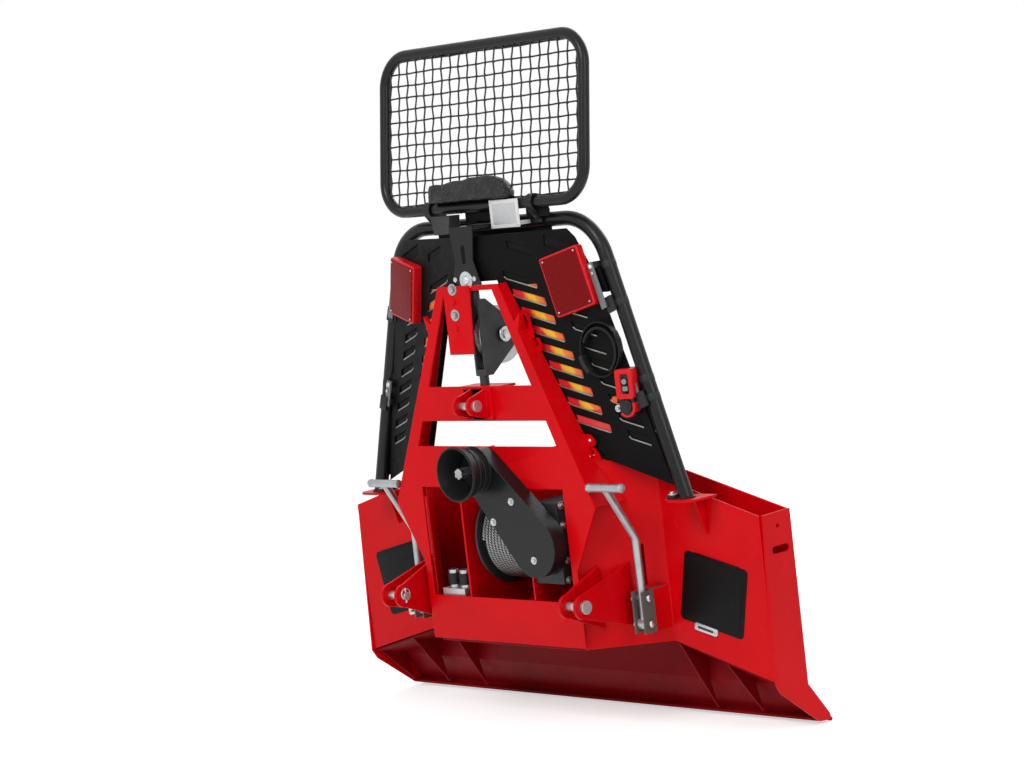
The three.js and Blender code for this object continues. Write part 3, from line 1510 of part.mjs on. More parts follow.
function strapLoop() {
  const path = Array.from({ length: strapSteps }, (_, k) => {
    const angle = (2 * Math.PI * k) / strapSteps;
    return new THREE.Vector3(along(strapX) + strapAcross * Math.cos(angle), -strapWidth / 2 - fit,
      strapZ + strapTall * Math.sin(angle));
  });
  const section = [
    [-strapWidth / 2, -strapSheet / 2], [strapWidth / 2, -strapSheet / 2],
    [strapWidth / 2, strapSheet / 2], [-strapWidth / 2, strapSheet / 2],
  ];
  return onWing(swept(path, section, [0, 1, 0], true));
}
part('controller_strap', strapLoop(), 'rubber');

winch.position.set(0, hitchReach, -hitchHeight);
const root = new THREE.Group();
root.add(winch);
export default root;
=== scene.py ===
import json
from functools import partial
from math import cos, pi, radians, sin, tau

import bmesh
import bpy
from mathutils import Matrix, Vector

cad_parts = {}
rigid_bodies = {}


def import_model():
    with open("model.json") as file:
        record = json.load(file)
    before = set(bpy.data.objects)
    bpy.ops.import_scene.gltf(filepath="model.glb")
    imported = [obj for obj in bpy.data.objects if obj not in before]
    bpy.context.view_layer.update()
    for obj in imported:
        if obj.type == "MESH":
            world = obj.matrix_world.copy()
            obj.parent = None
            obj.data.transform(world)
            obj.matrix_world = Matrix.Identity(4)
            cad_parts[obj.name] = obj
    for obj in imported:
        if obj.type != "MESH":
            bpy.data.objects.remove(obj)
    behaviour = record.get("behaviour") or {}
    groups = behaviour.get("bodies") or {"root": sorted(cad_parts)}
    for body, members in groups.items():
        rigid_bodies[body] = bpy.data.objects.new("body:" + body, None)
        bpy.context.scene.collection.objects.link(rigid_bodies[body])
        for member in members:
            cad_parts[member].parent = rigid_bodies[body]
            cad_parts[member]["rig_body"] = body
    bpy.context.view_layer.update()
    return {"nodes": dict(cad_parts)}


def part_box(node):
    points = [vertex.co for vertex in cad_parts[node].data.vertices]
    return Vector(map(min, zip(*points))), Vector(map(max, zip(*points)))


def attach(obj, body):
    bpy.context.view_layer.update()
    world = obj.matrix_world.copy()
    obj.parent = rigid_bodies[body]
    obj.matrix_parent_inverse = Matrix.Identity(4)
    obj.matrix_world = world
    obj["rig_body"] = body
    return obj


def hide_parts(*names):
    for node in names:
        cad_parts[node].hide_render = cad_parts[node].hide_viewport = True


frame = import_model()
nodes = frame["nodes"]

# The camera stands where the photographer stood, to the left of the winch and ahead of it,
# a little above the tower. The winch hangs pitched forward in the picture, so the camera rolls.


def placed(name, data):
    """A new object with the data, linked to the scene."""
    thing = bpy.data.objects.new(name, data)
    bpy.context.scene.collection.objects.link(thing)
    return thing


camera = placed("camera", bpy.data.cameras.new("camera"))
bpy.context.scene.camera = camera
camera.data.lens = 100
camera.data.sensor_width = 36
camera.data.clip_end = 100
eye = Vector((6.572, -5.834, 1.462))
aim = Vector((0.03, 0.20, 0.655))
upward = Vector((0.0, 0.1564, 0.9877))
sight = (eye - aim).normalized()
across = upward.cross(sight).normalized()
camera.matrix_world = Matrix.Translation(eye) @ Matrix(
    (across, sight.cross(across), sight)).transposed().to_4x4()

# The pressed and folded plates of the blade, its ends and the panels that face the tractor.
# All are steel of 6 to 8 mm, laser cut, folded, welded together and powder coated red.
CUT_EDGE = 0.0016
HOLLOW_TOP = -0.13
BOTH_SIDES = ((1, "left"), (-1, "right"))


def coat_nodes(name):
    """A new material, its node tree and its Object coordinates."""
    material = bpy.data.materials.new(name)
    material.use_nodes = True
    tree = material.node_tree
    return material, tree, tree.nodes.new("ShaderNodeTexCoord").outputs["Object"]


def wired(tree, node, sockets):
    """The node with each named socket linked to an output, or set to a number or colour."""
    for key, value in sockets.items():
        if isinstance(value, bpy.types.NodeSocket):
            tree.links.new(value, node.inputs[key])
        else:
            node.inputs[key].default_value = value
    return node


def added(tree, kind, sockets, **settings):
    """A new node of the kind, with its settings made and its sockets wired."""
    node = tree.nodes.new("ShaderNode" + kind)
    for setting, value in settings.items():
        setattr(node, setting, value)
    return wired(tree, node, sockets)


def laid_on(tree, **sockets):
    """Wires the tree's shader, its sockets named in small letters with underscores."""
    shader = tree.nodes["Principled BSDF"]
    names = {socket.name.lower().replace(" ", "_"): socket.name for socket in shader.inputs}
    wired(tree, shader, {names[key]: value for key, value in sockets.items()})


def speckle(tree, place, scale, detail=4.0, rough=0.6):
    """Cloudy variation of the given scale over the piece."""
    sockets = {"Vector": place, "Scale": scale, "Detail": detail, "Roughness": rough}
    return added(tree, "TexNoise", sockets).outputs["Fac"]


def spread(tree, value, low, high, to_low, to_high):
    """The value's range from low to high, stretched to another range."""
    sockets = {"Value": value, "From Min": low, "From Max": high, "To Min": to_low, "To Max": to_high}
    return added(tree, "MapRange", sockets).outputs["Result"]


def tinted(tree, share, first, second):
    """A colour that goes from the first to the second with the share."""
    sockets = {"Factor": share, "A": (*first, 1), "B": (*second, 1)}
    return added(tree, "Mix", sockets, data_type="RGBA").outputs["Result"]


def relief(tree, height, distance, strength=1.0, under=None):
    """A bump of the given height in metres, over another one where there is one."""
    sockets = {"Height": height, "Distance": distance, "Strength": strength}
    if under:
        sockets["Normal"] = under
    return added(tree, "Bump", sockets).outputs["Normal"]


def powder_coat(name, fresh, dull, rough, coat):
    """Stoved paint: faint clouding, a fine orange peel, and rub marks in the gloss."""
    material, tree, place = coat_nodes(name)
    clouding = spread(tree, speckle(tree, place, 3.5, 5), 0.42, 0.72, 0, 1)
    rubs = speckle(tree, place, 38, 6, 0.7)
    peel = relief(tree, speckle(tree, place, 420, 2), 0.00012, 0.5)
    laid_on(tree, base_color=tinted(tree, clouding, fresh, dull),
            roughness=spread(tree, rubs, 0.35, 0.75, rough - 0.07, rough + 0.11),
            normal=relief(tree, speckle(tree, place, 6, 2), 0.004, 0.12, peel),
            specular_ior_level=0.10, coat_weight=coat, coat_roughness=0.18)
    return material


red_coat = powder_coat("red_coat", (0.70, 0.0008, 0.005), (0.60, 0.0008, 0.0045), 0.34, 0.02)
# A darker copy of the red paint: painted shade for the pocket floors, the base plate and the blade's faces in
# the hollow under the panels, where light from above does not reach.
inner_red = powder_coat("inner_red", (0.26, 0.002, 0.005), (0.18, 0.002, 0.004), 0.5, 0.0)


def merged(node, whole=True):
    """A copy of a CAD node's mesh, its triangles joined and, if asked, its flat faces made whole."""
    plate = bmesh.new()
    plate.from_mesh(nodes[node].data)
    bmesh.ops.remove_doubles(plate, verts=plate.verts, dist=2e-6)
    if whole:
        bmesh.ops.dissolve_limit(plate, angle_limit=radians(0.6), verts=plate.verts, edges=plate.edges)
    return plate


def finished(name, shape, material, body="frame", sharp=38, node=None):
    """A piece of the shape on its body, smooth but for edges sharper than the angle.

    It stands for the CAD node, where one is named.
    """
    data = bpy.data.meshes.new(name)
    shape.to_mesh(data)
    shape.free()
    for face in data.polygons:
        face.use_smooth = True
    data.set_sharp_from_angle(angle=radians(sharp))
    for coat in material if isinstance(material, (list, tuple)) else [material]:
        data.materials.append(coat)
    piece = placed(name, data)
    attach(piece, body)
    if node:
        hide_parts(node)
    return piece


def softened(node, material, width=CUT_EDGE, segments=2, angle=30, whole=True, shape=None):
    """The node's own shape with its cut edges rounded off, in place of the node."""
    piece = finished(node + "_cut", shape or merged(node, whole), material, nodes[node]["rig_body"],
                     angle, node)
    edge = piece.modifiers.new("edge", "BEVEL")
    edge.width = width
    edge.segments = segments
    edge.limit_method = "ANGLE"
    edge.angle_limit = radians(angle)
    edge.use_clamp_overlap = False
    edge.harden_normals = True
    return piece


# Below HOLLOW_TOP the blade's forward faces take the darker red: painted shade in the hollow under the
# panels, ahead of the lip.
blade = merged("rear_blade")
bmesh.ops.bisect_plane(blade, geom=[*blade.verts, *blade.edges, *blade.faces],
                       plane_co=(0, 0, HOLLOW_TOP), plane_no=(0, 0, 1))
blade_piece = softened("rear_blade", [red_coat, inner_red], shape=blade)
for face in blade_piece.data.polygons:
    face.material_index = int(face.center.z < HOLLOW_TOP and face.normal.y < 0.05)
for node in ("mast_frame", "mast_cover", "hitch_beam", "top_link_bracket", "left_drum_plate",
             "right_drum_plate", "lower_pulley_bracket"):
    softened(node, red_coat)
for _, side in BOTH_SIDES:
    for node in ("end_plate", "front_panel", "hitch_bracket", "hoop_bracket"):
        softened(f"{side}_{node}", red_coat)
    softened(f"{side}_pocket_floor", inner_red)
softened("base_plate", inner_red)

# The guard hoop over the tower: one steel tube of 46 mm, bent at its two upper corners,
# powder coated satin black, standing on the red brackets and welded round its feet.
HOOP_RADIUS = 0.023
HOOP_BEND = 0.165
HOOP_TOP = 1590
HOOP_Y = -200
FOOT_X, FOOT_Z = 704, 730


def spot(x, y, z):
    """A point in millimetres from the middle of the blade's rear face, at the lip's lowest edge."""
    return Vector((x, y + 430, z - 430)) / 1000


def bent(corners, bend, steps=10, ring=False):
    """The corners' line with each corner turned at the bend's radius."""
    route = []
    for i, corner in enumerate(corners):
        if not ring and i in (0, len(corners) - 1):
            route.append(corner)
            continue
        back = (corners[i - 1] - corner).normalized()
        onward = (corners[(i + 1) % len(corners)] - corner).normalized()
        half = back.angle(onward) / 2
        centre = corner + (back + onward).normalized() * bend / sin(half)
        start = corner + back * bend / (sin(half) / cos(half)) - centre
        end = corner + onward * bend / (sin(half) / cos(half)) - centre
        axis = start.cross(end)
        route += [centre + Matrix.Rotation(start.angle(end) * k / steps, 3, axis) @ start
                  for k in range(steps + 1)]
    return route


def tube(name, routes, radius, material, body, ring=False, sides=5, node=None):
    """Round tubes or bars along the routes, with closed ends unless each is a ring."""
    line = bpy.data.curves.new(name + "_line", "CURVE")
    line.dimensions = "3D"
    line.bevel_depth = radius
    line.bevel_resolution = sides
    line.use_fill_caps = not ring
    for route in routes:
        spline = line.splines.new("POLY")
        spline.points.add(len(route) - 1)
        for dot, point in zip(spline.points, route):
            dot.co = (*point, 1)
        spline.use_cyclic_u = ring
    holder = placed(name + "_line", line)
    bpy.context.view_layer.update()
    skin = bpy.data.meshes.new_from_object(holder.evaluated_get(bpy.context.evaluated_depsgraph_get()))
    bpy.data.objects.remove(holder)
    shape = bmesh.new()
    shape.from_mesh(skin)
    bmesh.ops.remove_doubles(shape, verts=shape.verts, dist=1e-6)
    return finished(name, shape, material, body, 50, node)


def satin_coat(name, colour, worn, rough, gloss=0.35):
    """Satin black paint: soft sheen, a little dust, and thin grey rubs."""
    material, tree, place = coat_nodes(name)
    rubs = spread(tree, speckle(tree, place, 9, 8, 0.72), 0.60, 0.78, 0, 1)
    laid_on(tree, base_color=tinted(tree, rubs, colour, worn),
            roughness=spread(tree, speckle(tree, place, 30, 4), 0.3, 0.7, rough - 0.06, rough + 0.10),
            normal=relief(tree, speckle(tree, place, 600, 2), 0.0001, 0.5), specular_ior_level=gloss)
    return material


def hoop_x(z):
    """How far out the hoop's side tube stands at a height."""
    return FOOT_X - 0.304 * (z - FOOT_Z)


tube_black = satin_coat("tube_black", (0.0065, 0.007, 0.0082), (0.018, 0.019, 0.022), 0.30, 0.26)
hoop_corners = [spot(-FOOT_X, HOOP_Y, FOOT_Z + 0.3), spot(-hoop_x(HOOP_TOP), HOOP_Y, HOOP_TOP),
                spot(hoop_x(HOOP_TOP), HOOP_Y, HOOP_TOP), spot(FOOT_X, HOOP_Y, FOOT_Z + 0.3)]
tube("hoop_tube", [bent(hoop_corners, HOOP_BEND, 14)], HOOP_RADIUS, tube_black, "frame", sides=8,
     node="guard_hoop")
for turn, side in BOTH_SIDES:
    bead = [spot(turn * FOOT_X, HOOP_Y, FOOT_Z + 2.5) + Vector((cos(a), sin(a), 0)) * (HOOP_RADIUS + 0.0025)
            for a in (tau * k / 24 for k in range(24))]
    tube(f"{side}_foot_weld", [bead], 0.0035, tube_black, "frame", ring=True, sides=2)

# The waisted stay and the two hinge clamps that tie hoop, tower and mesh guard together,
# flame cut from 6 mm plate. Domed and hexagonal bolts hold them and the tower's cover.
FORWARD, REARWARD, UPWARD = Vector((0, -1, 0)), Vector((0, 1, 0)), Vector((0, 0, 1))
ACROSS_AXIS = Vector((1, 0, 0))
STAY_FRONT, COVER_FRONT = -345, -352


def metal(name, colour, dark, rough, grain, tarnish=0.5, bare=0.9):
    """Bare or plated metal: grained gloss, with patches that the weather has dulled."""
    material, tree, place = coat_nodes(name)
    patch = spread(tree, speckle(tree, place, 16, 6, 0.65), 0.40, 0.70, 0, tarnish)
    laid_on(tree, base_color=tinted(tree, patch, colour, dark),
            roughness=spread(tree, speckle(tree, place, 55, 5, 0.7), 0.3, 0.7, rough - 0.1, rough + 0.14),
            normal=relief(tree, speckle(tree, place, grain, 3), 0.0002, 0.35), metallic=bare)
    return material


def rolled(shape, edges, width, segments=2):
    """Rounds the edges of the shape off to the width."""
    bmesh.ops.bevel(shape, geom=list(edges), offset=width, segments=segments, affect="EDGES",
                    profile=0.5, material=-1)


def bolt(shape, centre, axis, across, height, hex_head=True, washer=0.0):
    """Adds a bolt's head to the shape, standing on the centre along the axis."""
    base = Matrix.Translation(centre) @ UPWARD.rotation_difference(axis).to_matrix().to_4x4()
    if washer:
        bmesh.ops.create_cone(shape, cap_ends=True, segments=20, radius1=across * 0.95, radius2=across * 0.92,
                              depth=washer, matrix=base @ Matrix.Translation((0, 0, washer / 2)))
    low = base @ Matrix.Translation((0, 0, washer))
    if hex_head:
        corner = across / 2 * 1.155
        head = bmesh.ops.create_cone(shape, cap_ends=True, segments=6, radius1=corner, radius2=corner,
                                     depth=height, matrix=low @ Matrix.Translation((0, 0, height / 2)))
        rolled(shape, {e for v in head["verts"] for e in v.link_edges}, height * 0.14)
    else:
        dome = bmesh.ops.create_uvsphere(shape, u_segments=16, v_segments=10, radius=across / 2,
                                         matrix=low @ Matrix.Diagonal((1, 1, 2 * height / across, 1)))
        below = [v for v in dome["verts"] if (v.co - low.translation).dot(axis) < -1e-6]
        bmesh.ops.delete(shape, geom=below, context="VERTS")


def bolted(name, rows, material, body="frame"):
    """One piece of the bolts in the rows, each with its centre, axis, width, height and form."""
    heads = bmesh.new()
    for row in rows:
        bolt(heads, *row)
    return finished(name, heads, material, body)


zinc = metal("zinc", (0.60, 0.62, 0.63), (0.38, 0.40, 0.41), 0.36, 260)
machined = metal("machined", (0.44, 0.45, 0.46), (0.22, 0.22, 0.22), 0.30, 700)
softened("hoop_stay", tube_black, 0.0012)
for _, side in BOTH_SIDES:
    softened(f"{side}_guard_hinge", tube_black, 0.001)
stay_rows = [(spot(0, STAY_FRONT, 1428), FORWARD, 0.030, 0.009, False, 0.002)]
stay_rows += [(spot(x, STAY_FRONT, 1432), FORWARD, 0.015, 0.007) for x in (-44, 44)]
stay_rows += [(spot(turn * 236 + face * 15, -225, 1613), ACROSS_AXIS * face, 0.012, 0.006)
              for turn in (-1, 1) for face in (-1, 1)]
bolted("stay_bolts", stay_rows, zinc)
bolted("cover_bolts", [(spot(-62, COVER_FRONT, z), FORWARD, 0.020, 0.0075, True, 0.0015)
                       for z in (1402, 1321)], machined)

# The black rubber skirt that closes the gap under the hoop's top tube, behind the shields' upper
# edges. It is one strip cut from 3 mm sheet.
skirt_rubber = satin_coat("skirt_rubber", (0.005, 0.005, 0.005), (0.012, 0.012, 0.012), 0.6, 0.1)


def box_of(shape, wide, deep, high):
    """Adds a plain box to the shape, between pairs of millimetres of the winch's frame."""
    low, top = spot(wide[0], deep[0], high[0]), spot(wide[1], deep[1], high[1])
    size = top - low
    return bmesh.ops.create_cube(shape, size=1, matrix=Matrix.Translation((low + top) / 2) @
                                 Matrix.Diagonal((size.x, size.y, size.z, 1)))["verts"]


skirt = bmesh.new()
box_of(skirt, (-262, 262), (-205, -202), (1515, 1580))
finished("hoop_skirt", skirt, skirt_rubber, "frame")

# The slotted shields that fill the hoop: 4 mm sheet with rows of sloping slots, textured black,
# each on its own plane from the tower's leg back to the hoop, with pale strips along the slots' lower
# lips: painted highlight where the lips catch the light from above.
WING_TURN = 0.2013
WING_START = (150, -300)
SLOT_ROWS = range(-1, 8)
SLOT_START, ROW_STEP, COLUMN_STEP = (152, 1392), (26, 57), 178
SLOT_LENGTH, OUTER_LENGTH, OUTER_MARGIN = 118, 84, 229
SLOT_SLOPE = 0.31


def on_wing(side, x, z, depth):
    """A point on a shield's plane, so many millimetres behind its front face."""
    y = WING_START[1] + (x - WING_START[0]) * sin(WING_TURN) / cos(WING_TURN) + depth * cos(WING_TURN)
    return spot(side * (x - depth * sin(WING_TURN)), y, z)


def strip(shape, start, end, facing, width, thick, edge=0.0008):
    """A flat bar from start to end, its wide side towards the facing direction."""
    line = (end - start).normalized()
    wide = facing.cross(line).normalized()
    away = line.cross(wide).normalized()
    turned = Matrix((wide, away, line)).transposed().to_4x4()
    made = bmesh.ops.create_cube(shape, size=1, matrix=Matrix.Translation((start + end) / 2) @ turned @
                                 Matrix.Diagonal((width, thick, (end - start).length, 1)))
    rolled(shape, {e for v in made["verts"] for e in v.link_edges}, edge)


def slot_row(row):
    """Both slots of a row on a shield: the places of their upper corners and their lengths."""
    x, z = SLOT_START[0] + ROW_STEP[0] * row, SLOT_START[1] - ROW_STEP[1] * row
    outer_z = z - SLOT_SLOPE * COLUMN_STEP
    outer_length = min(OUTER_LENGTH, hoop_x(outer_z) - OUTER_MARGIN - x)
    return [(x, z, SLOT_LENGTH), (x + COLUMN_STEP, outer_z, outer_length)]


sheet_black = satin_coat("sheet_black", (0.0032, 0.0032, 0.0034), (0.010, 0.010, 0.010), 0.48, 0.09)
# A pale bare-metal look for the strips on the slots' lower lips: painted highlight of the lit lips.
lip_pale = metal("lip_pale", (0.30, 0.31, 0.28), (0.15, 0.155, 0.12), 0.4, 120, 0.8)
for turn, side in BOTH_SIDES:
    softened(f"{side}_shield", sheet_black, 0.0012, whole=False)
    lip_highlight_strips = bmesh.new()
    facing = on_wing(turn, 300, 1200, -1) - on_wing(turn, 300, 1200, 0)
    for x, z, length in (slot for row in SLOT_ROWS for slot in slot_row(row)):
        low_end = on_wing(turn, x + length + 3, z - SLOT_SLOPE * length - 25, 0)
        corner = on_wing(turn, x + 13, z - 27, 0)
        strip(lip_highlight_strips, corner, low_end, facing, 0.0042, 0.0022, 0.0006)
        strip(lip_highlight_strips, on_wing(turn, x + 5, z - 19, 0), corner, facing, 0.0036, 0.0020, 0.0006)
    finished(f"{side}_slot_lips", lip_highlight_strips, lip_pale, "frame")

# Black sheets close behind the slots, standing in for the shaded space behind them: painted shade,
# flecked in patches with yellowish painted glints of small parts. The warning foil is stuck on them
# behind the inner column of slots: red at the tower's side, then a yellow and an orange band, and dark at its
# end.
FOIL_BANDS = ((0.0, (0.72, 0.03, 0.05)), (0.10, (0.70, 0.012, 0.02)), (0.30, (0.66, 0.01, 0.015)),
              (0.34, (0.85, 0.15, 0.01)), (0.40, (0.86, 0.42, 0.015)), (0.56, (0.90, 0.52, 0.02)),
              (0.62, (0.88, 0.22, 0.01)), (0.74, (0.80, 0.13, 0.012)), (0.82, (0.42, 0.012, 0.02)),
              (0.90, (0.06, 0.01, 0.06)), (0.97, (0.01, 0.008, 0.012)))


def maths(tree, operation, *values):
    """The result of a calculation with outputs or numbers."""
    return added(tree, "Math", dict(enumerate(values)), operation=operation).outputs["Value"]


def pushed(shape, faces, thick):
    """The flat faces of the shape given a thickness, and all its faces turned outwards."""
    grown = bmesh.ops.extrude_face_region(shape, geom=faces)["geom"]
    bmesh.ops.translate(shape, vec=thick, verts=[g for g in grown if isinstance(g, bmesh.types.BMVert)])
    bmesh.ops.recalc_face_normals(shape, faces=shape.faces)
    return shape


def plate_of(corners, thick):
    """A flat plate through the corners, given its thickness away from the first face."""
    plate = bmesh.new()
    return pushed(plate, [plate.faces.new([plate.verts.new(corner) for corner in corners])], thick)


backing_black, tree, place = coat_nodes("backing_black")
glint_cells = added(tree, "TexVoronoi", {"Vector": place, "Scale": 42}).outputs["Distance"]
patches = spread(tree, speckle(tree, place, 13, 3), 0.56, 0.64, 0, 1)
glint_share = maths(tree, "MULTIPLY", spread(tree, glint_cells, 0.16, 0.24, 1, 0), patches)
# The sheets' black is painted shade; the yellowish flecks in patches are painted glints.
laid_on(tree, base_color=tinted(tree, glint_share, (0.0028, 0.0028, 0.0026), (0.16, 0.155, 0.05)),
        roughness=0.7, specular_ior_level=0.15)

band_foil, tree, place = coat_nodes("band_foil")
axes = added(tree, "SeparateXYZ", {"Vector": place}).outputs
outward = maths(tree, "ABSOLUTE", axes["X"])
along_band = maths(tree, "MULTIPLY_ADD", axes["Z"], ROW_STEP[0] / ROW_STEP[1], outward)
wander = spread(tree, speckle(tree, place, 55, 2), 0.3, 0.7, -0.005, 0.005)
band_share = spread(tree, maths(tree, "ADD", along_band, wander), 0.575, 0.715, 0, 1)
ramp = added(tree, "ValToRGB", {"Fac": band_share})
for stop, colour in FOIL_BANDS:
    ramp.color_ramp.elements.new(stop).color = (*colour, 1)
low_red = spread(tree, axes["Z"], 0.571, 0.576, 1, 0)
plain_red = tinted(tree, speckle(tree, place, 22, 3), (0.66, 0.008, 0.016), (0.86, 0.06, 0.06))
rows_share = {"Factor": low_red, "A": ramp.outputs["Color"], "B": plain_red}
cells = added(tree, "TexVoronoi", {"Vector": place, "Scale": 380}).outputs["Distance"]
laid_on(tree, base_color=added(tree, "Mix", rows_share, data_type="RGBA").outputs["Result"], roughness=0.3,
        normal=relief(tree, cells, 0.0003, 0.4))

VENT = ((140, 1558), (366, 1558), (394, 1522), (388, 1478), (128, 1478))
FOIL = ((134, 1400), (284, 1400), (472, 940), (440, 916), (344, 916))
BACKING_INSETS = ((1500, 84), (1400, 46), (1070, 46), (1010, 18), (780, 18))
for turn, side in BOTH_SIDES:
    back = on_wing(turn, 200, 1200, 1) - on_wing(turn, 200, 1200, 0)
    rim = [(hoop_x(z) - inset, z) for z, inset in BACKING_INSETS]
    outline = [on_wing(turn, x, z, 5.4) for x, z in [(92, 1500), *rim, (480, 846), (402, 846)]]
    sheet = finished(f"{side}_backing_sheet", plate_of(outline, back * 1.5), [backing_black, sheet_black],
                     "frame")
    for face in sheet.data.polygons:
        face.material_index = int(face.normal.y > 0)
    vent = plate_of([on_wing(turn, x, z, 4.3) for x, z in VENT], back * 1.5)
    finished(f"{side}_vent_backing", vent, backing_black, "frame")
    foil = plate_of([on_wing(turn, x, z, 4.3) for x, z in FOIL], back * 0.6)
    finished(f"{side}_warning_foil", foil, band_foil, "frame")

# The clamps that hold the shields to the hoop: flat grey bars on dark rubber-lined collars
# round the tube, each with a large and a small screw at its upper end.
CLAMP_SPANS = ((1452, 1312, 47), (1102, 1020, 31))
clamp_grey = satin_coat("clamp_grey", (0.17, 0.172, 0.178), (0.25, 0.255, 0.26), 0.42, 0.5)
collar_grey = satin_coat("collar_grey", (0.020, 0.021, 0.022), (0.05, 0.05, 0.052), 0.5, 0.25)


def rod(shape, start, end, radius, sides=20, edge=0.0):
    """A round bar from start to end with a small chamfer."""
    line = end - start
    turned = UPWARD.rotation_difference(line).to_matrix().to_4x4()
    made = bmesh.ops.create_cone(shape, cap_ends=True, segments=sides, radius1=radius, radius2=radius,
                                 depth=line.length, matrix=Matrix.Translation((start + end) / 2) @ turned)
    if edge:
        along = line.normalized()
        rolled(shape, {e for v in made["verts"] for e in v.link_edges
                       if abs((e.verts[0].co - e.verts[1].co).normalized().dot(along)) < 0.5}, edge)


def hoop_spot(side, z, inward=0.0, forward=0.0):
    """A point by the hoop's side tube, moved towards the middle and towards the tractor."""
    return spot(side * (hoop_x(z) - inward), HOOP_Y - forward, z)


for turn, side in BOTH_SIDES:
    bars, collars = bmesh.new(), bmesh.new()
    screw_rows = []
    for high, low, ahead in CLAMP_SPANS:
        strip(bars, hoop_spot(turn, high, 33, ahead), hoop_spot(turn, low, 31, ahead), FORWARD, 0.022, 0.006,
              0.0012)
        for z in (high - 10, low + 14):
            lean = (hoop_spot(turn, z + 10) - hoop_spot(turn, z - 10)).normalized() * 0.010
            rod(collars, hoop_spot(turn, z) - lean, hoop_spot(turn, z) + lean, 0.0236, 28, 0.0003)
            strip(collars, hoop_spot(turn, z + 10, 30, ahead / 2), hoop_spot(turn, z - 10, 30, ahead / 2),
                  FORWARD, 0.022, ahead / 1000 - 0.008)
        strip(collars, hoop_spot(turn, low + 34, 19, 32), hoop_spot(turn, low - 12, 16, 32), FORWARD, 0.032,
              0.014, 0.0025)
        screw_rows += [(hoop_spot(turn, high - 12, 33, ahead + 3), FORWARD, 0.018, 0.007, False),
                       (hoop_spot(turn, high - 32, 31, ahead + 3), FORWARD, 0.010, 0.005)]
    finished(f"{side}_clamp_bars", bars, clamp_grey, "frame")
    bolted(f"{side}_clamp_screws", screw_rows, zinc)
    finished(f"{side}_clamp_collars", collars, collar_grey, "frame")

# The side lamps: bright red moulded housings screwed to the shields at four corners,
# with a dark red ribbed lens that stands a little proud of its rim.
LAMP_MIDDLE = (376.2, 1402)
LAMP_LEAN = 0.25
lamp_red = powder_coat("lamp_red", (0.70, 0.006, 0.012), (0.60, 0.005, 0.010), 0.28, 0.3)
lens_red, tree, place = coat_nodes("lens_red")
lie = added(tree, "Mapping", {"Vector": place, "Rotation": (0, radians(-38), 0)}).outputs["Vector"]
wave = {"Vector": lie, "Scale": 36, "Distortion": 0.25}
ribs = added(tree, "TexWave", wave, bands_direction="X").outputs["Fac"]
laid_on(tree, base_color=tinted(tree, ribs, (0.13, 0.001, 0.002), (0.24, 0.002, 0.003)),
        normal=relief(tree, ribs, 0.0012, 0.45), roughness=0.38, specular_ior_level=0.12)


def rounded(middle, size, radius, steps=5):
    """The corners of a rounded rectangle round its middle, with equal steps in each corner."""
    return [(middle[0] + sx * (size[0] / 2 - radius) + radius * cos(a),
             middle[1] + sz * (size[1] / 2 - radius) + radius * sin(a))
            for quarter, (sx, sz) in enumerate(((1, 1), (-1, 1), (-1, -1), (1, -1)))
            for a in ((quarter + k / steps) * pi / 2 for k in range(steps + 1))]


def rim_rolled(slab, point, front, edge, segments=4):
    """The slab with the rim of its front face rolled; the face lies in a piece's own plane."""
    face, ahead = point(0, 0, front), (point(0, 0, 1) - point(0, 0, 0)).normalized()
    rolled(slab, [e for e in slab.edges if all(abs((v.co - face).dot(ahead)) < 1e-5 for v in e.verts) and
                  any(abs(f.normal.dot(ahead)) < 0.5 for f in e.link_faces)], edge, segments)
    return slab


def slab_on(point, outline, front, rear, edge):
    """A slab with the outline in a piece's own plane, from front to rear."""
    thick = point(0, 0, front) - point(0, 0, rear)
    return rim_rolled(plate_of([point(right, up, rear) for right, up in outline], thick), point, front, edge)


def lamp_point(side, right, up, depth):
    """A point on a side lamp, from the middle of its face in its own turned plane."""
    c, s = cos(LAMP_LEAN), sin(LAMP_LEAN)
    x = LAMP_MIDDLE[0] + (right * c - up * s) * cos(WING_TURN)
    return on_wing(side, x, LAMP_MIDDLE[1] + right * s + up * c, depth)


for turn, side in BOTH_SIDES:
    lamp = partial(lamp_point, turn)
    finished(f"{side}_lamp_shell", slab_on(lamp, rounded((0, 0), (148, 190), 8), -31, -0.5, 0.004),
             lamp_red, "frame", 50, f"{side}_side_lamp")
    finished(f"{side}_lamp_lens", slab_on(lamp, rounded((0, 0), (136, 178), 7), -34.3, -24, 0.003),
             lens_red, "frame", 50)
    facing = (lamp(0, 0, -1) - lamp(0, 0, 0)).normalized()
    bolted(f"{side}_lamp_screws", [(lamp(right, up, -34.2), facing, 0.0070, 0.0020, False)
                                   for right, up in ((-60, -81), (60, -81), (-60, 81), (60, 81))], machined)

# The small work lamp on the hoop's top tube: a dark grey cast housing with rounded edges,
# its face set back inside a narrow rim.
lamp_grey = satin_coat("lamp_grey", (0.030, 0.031, 0.033), (0.06, 0.06, 0.06), 0.5)
housing = merged("work_lamp")
front = min(housing.faces, key=lambda f: f.calc_center_median().y)
for rim_width, sunk in ((0.005, 0.0), (0.0015, -0.0025)):
    bmesh.ops.inset_region(housing, faces=[front], thickness=rim_width, depth=sunk)
work_lamp = finished("work_lamp_housing", housing, lamp_grey, "frame", node="work_lamp")
work_lamp.modifiers.new("edge", "BEVEL").width = 0.001

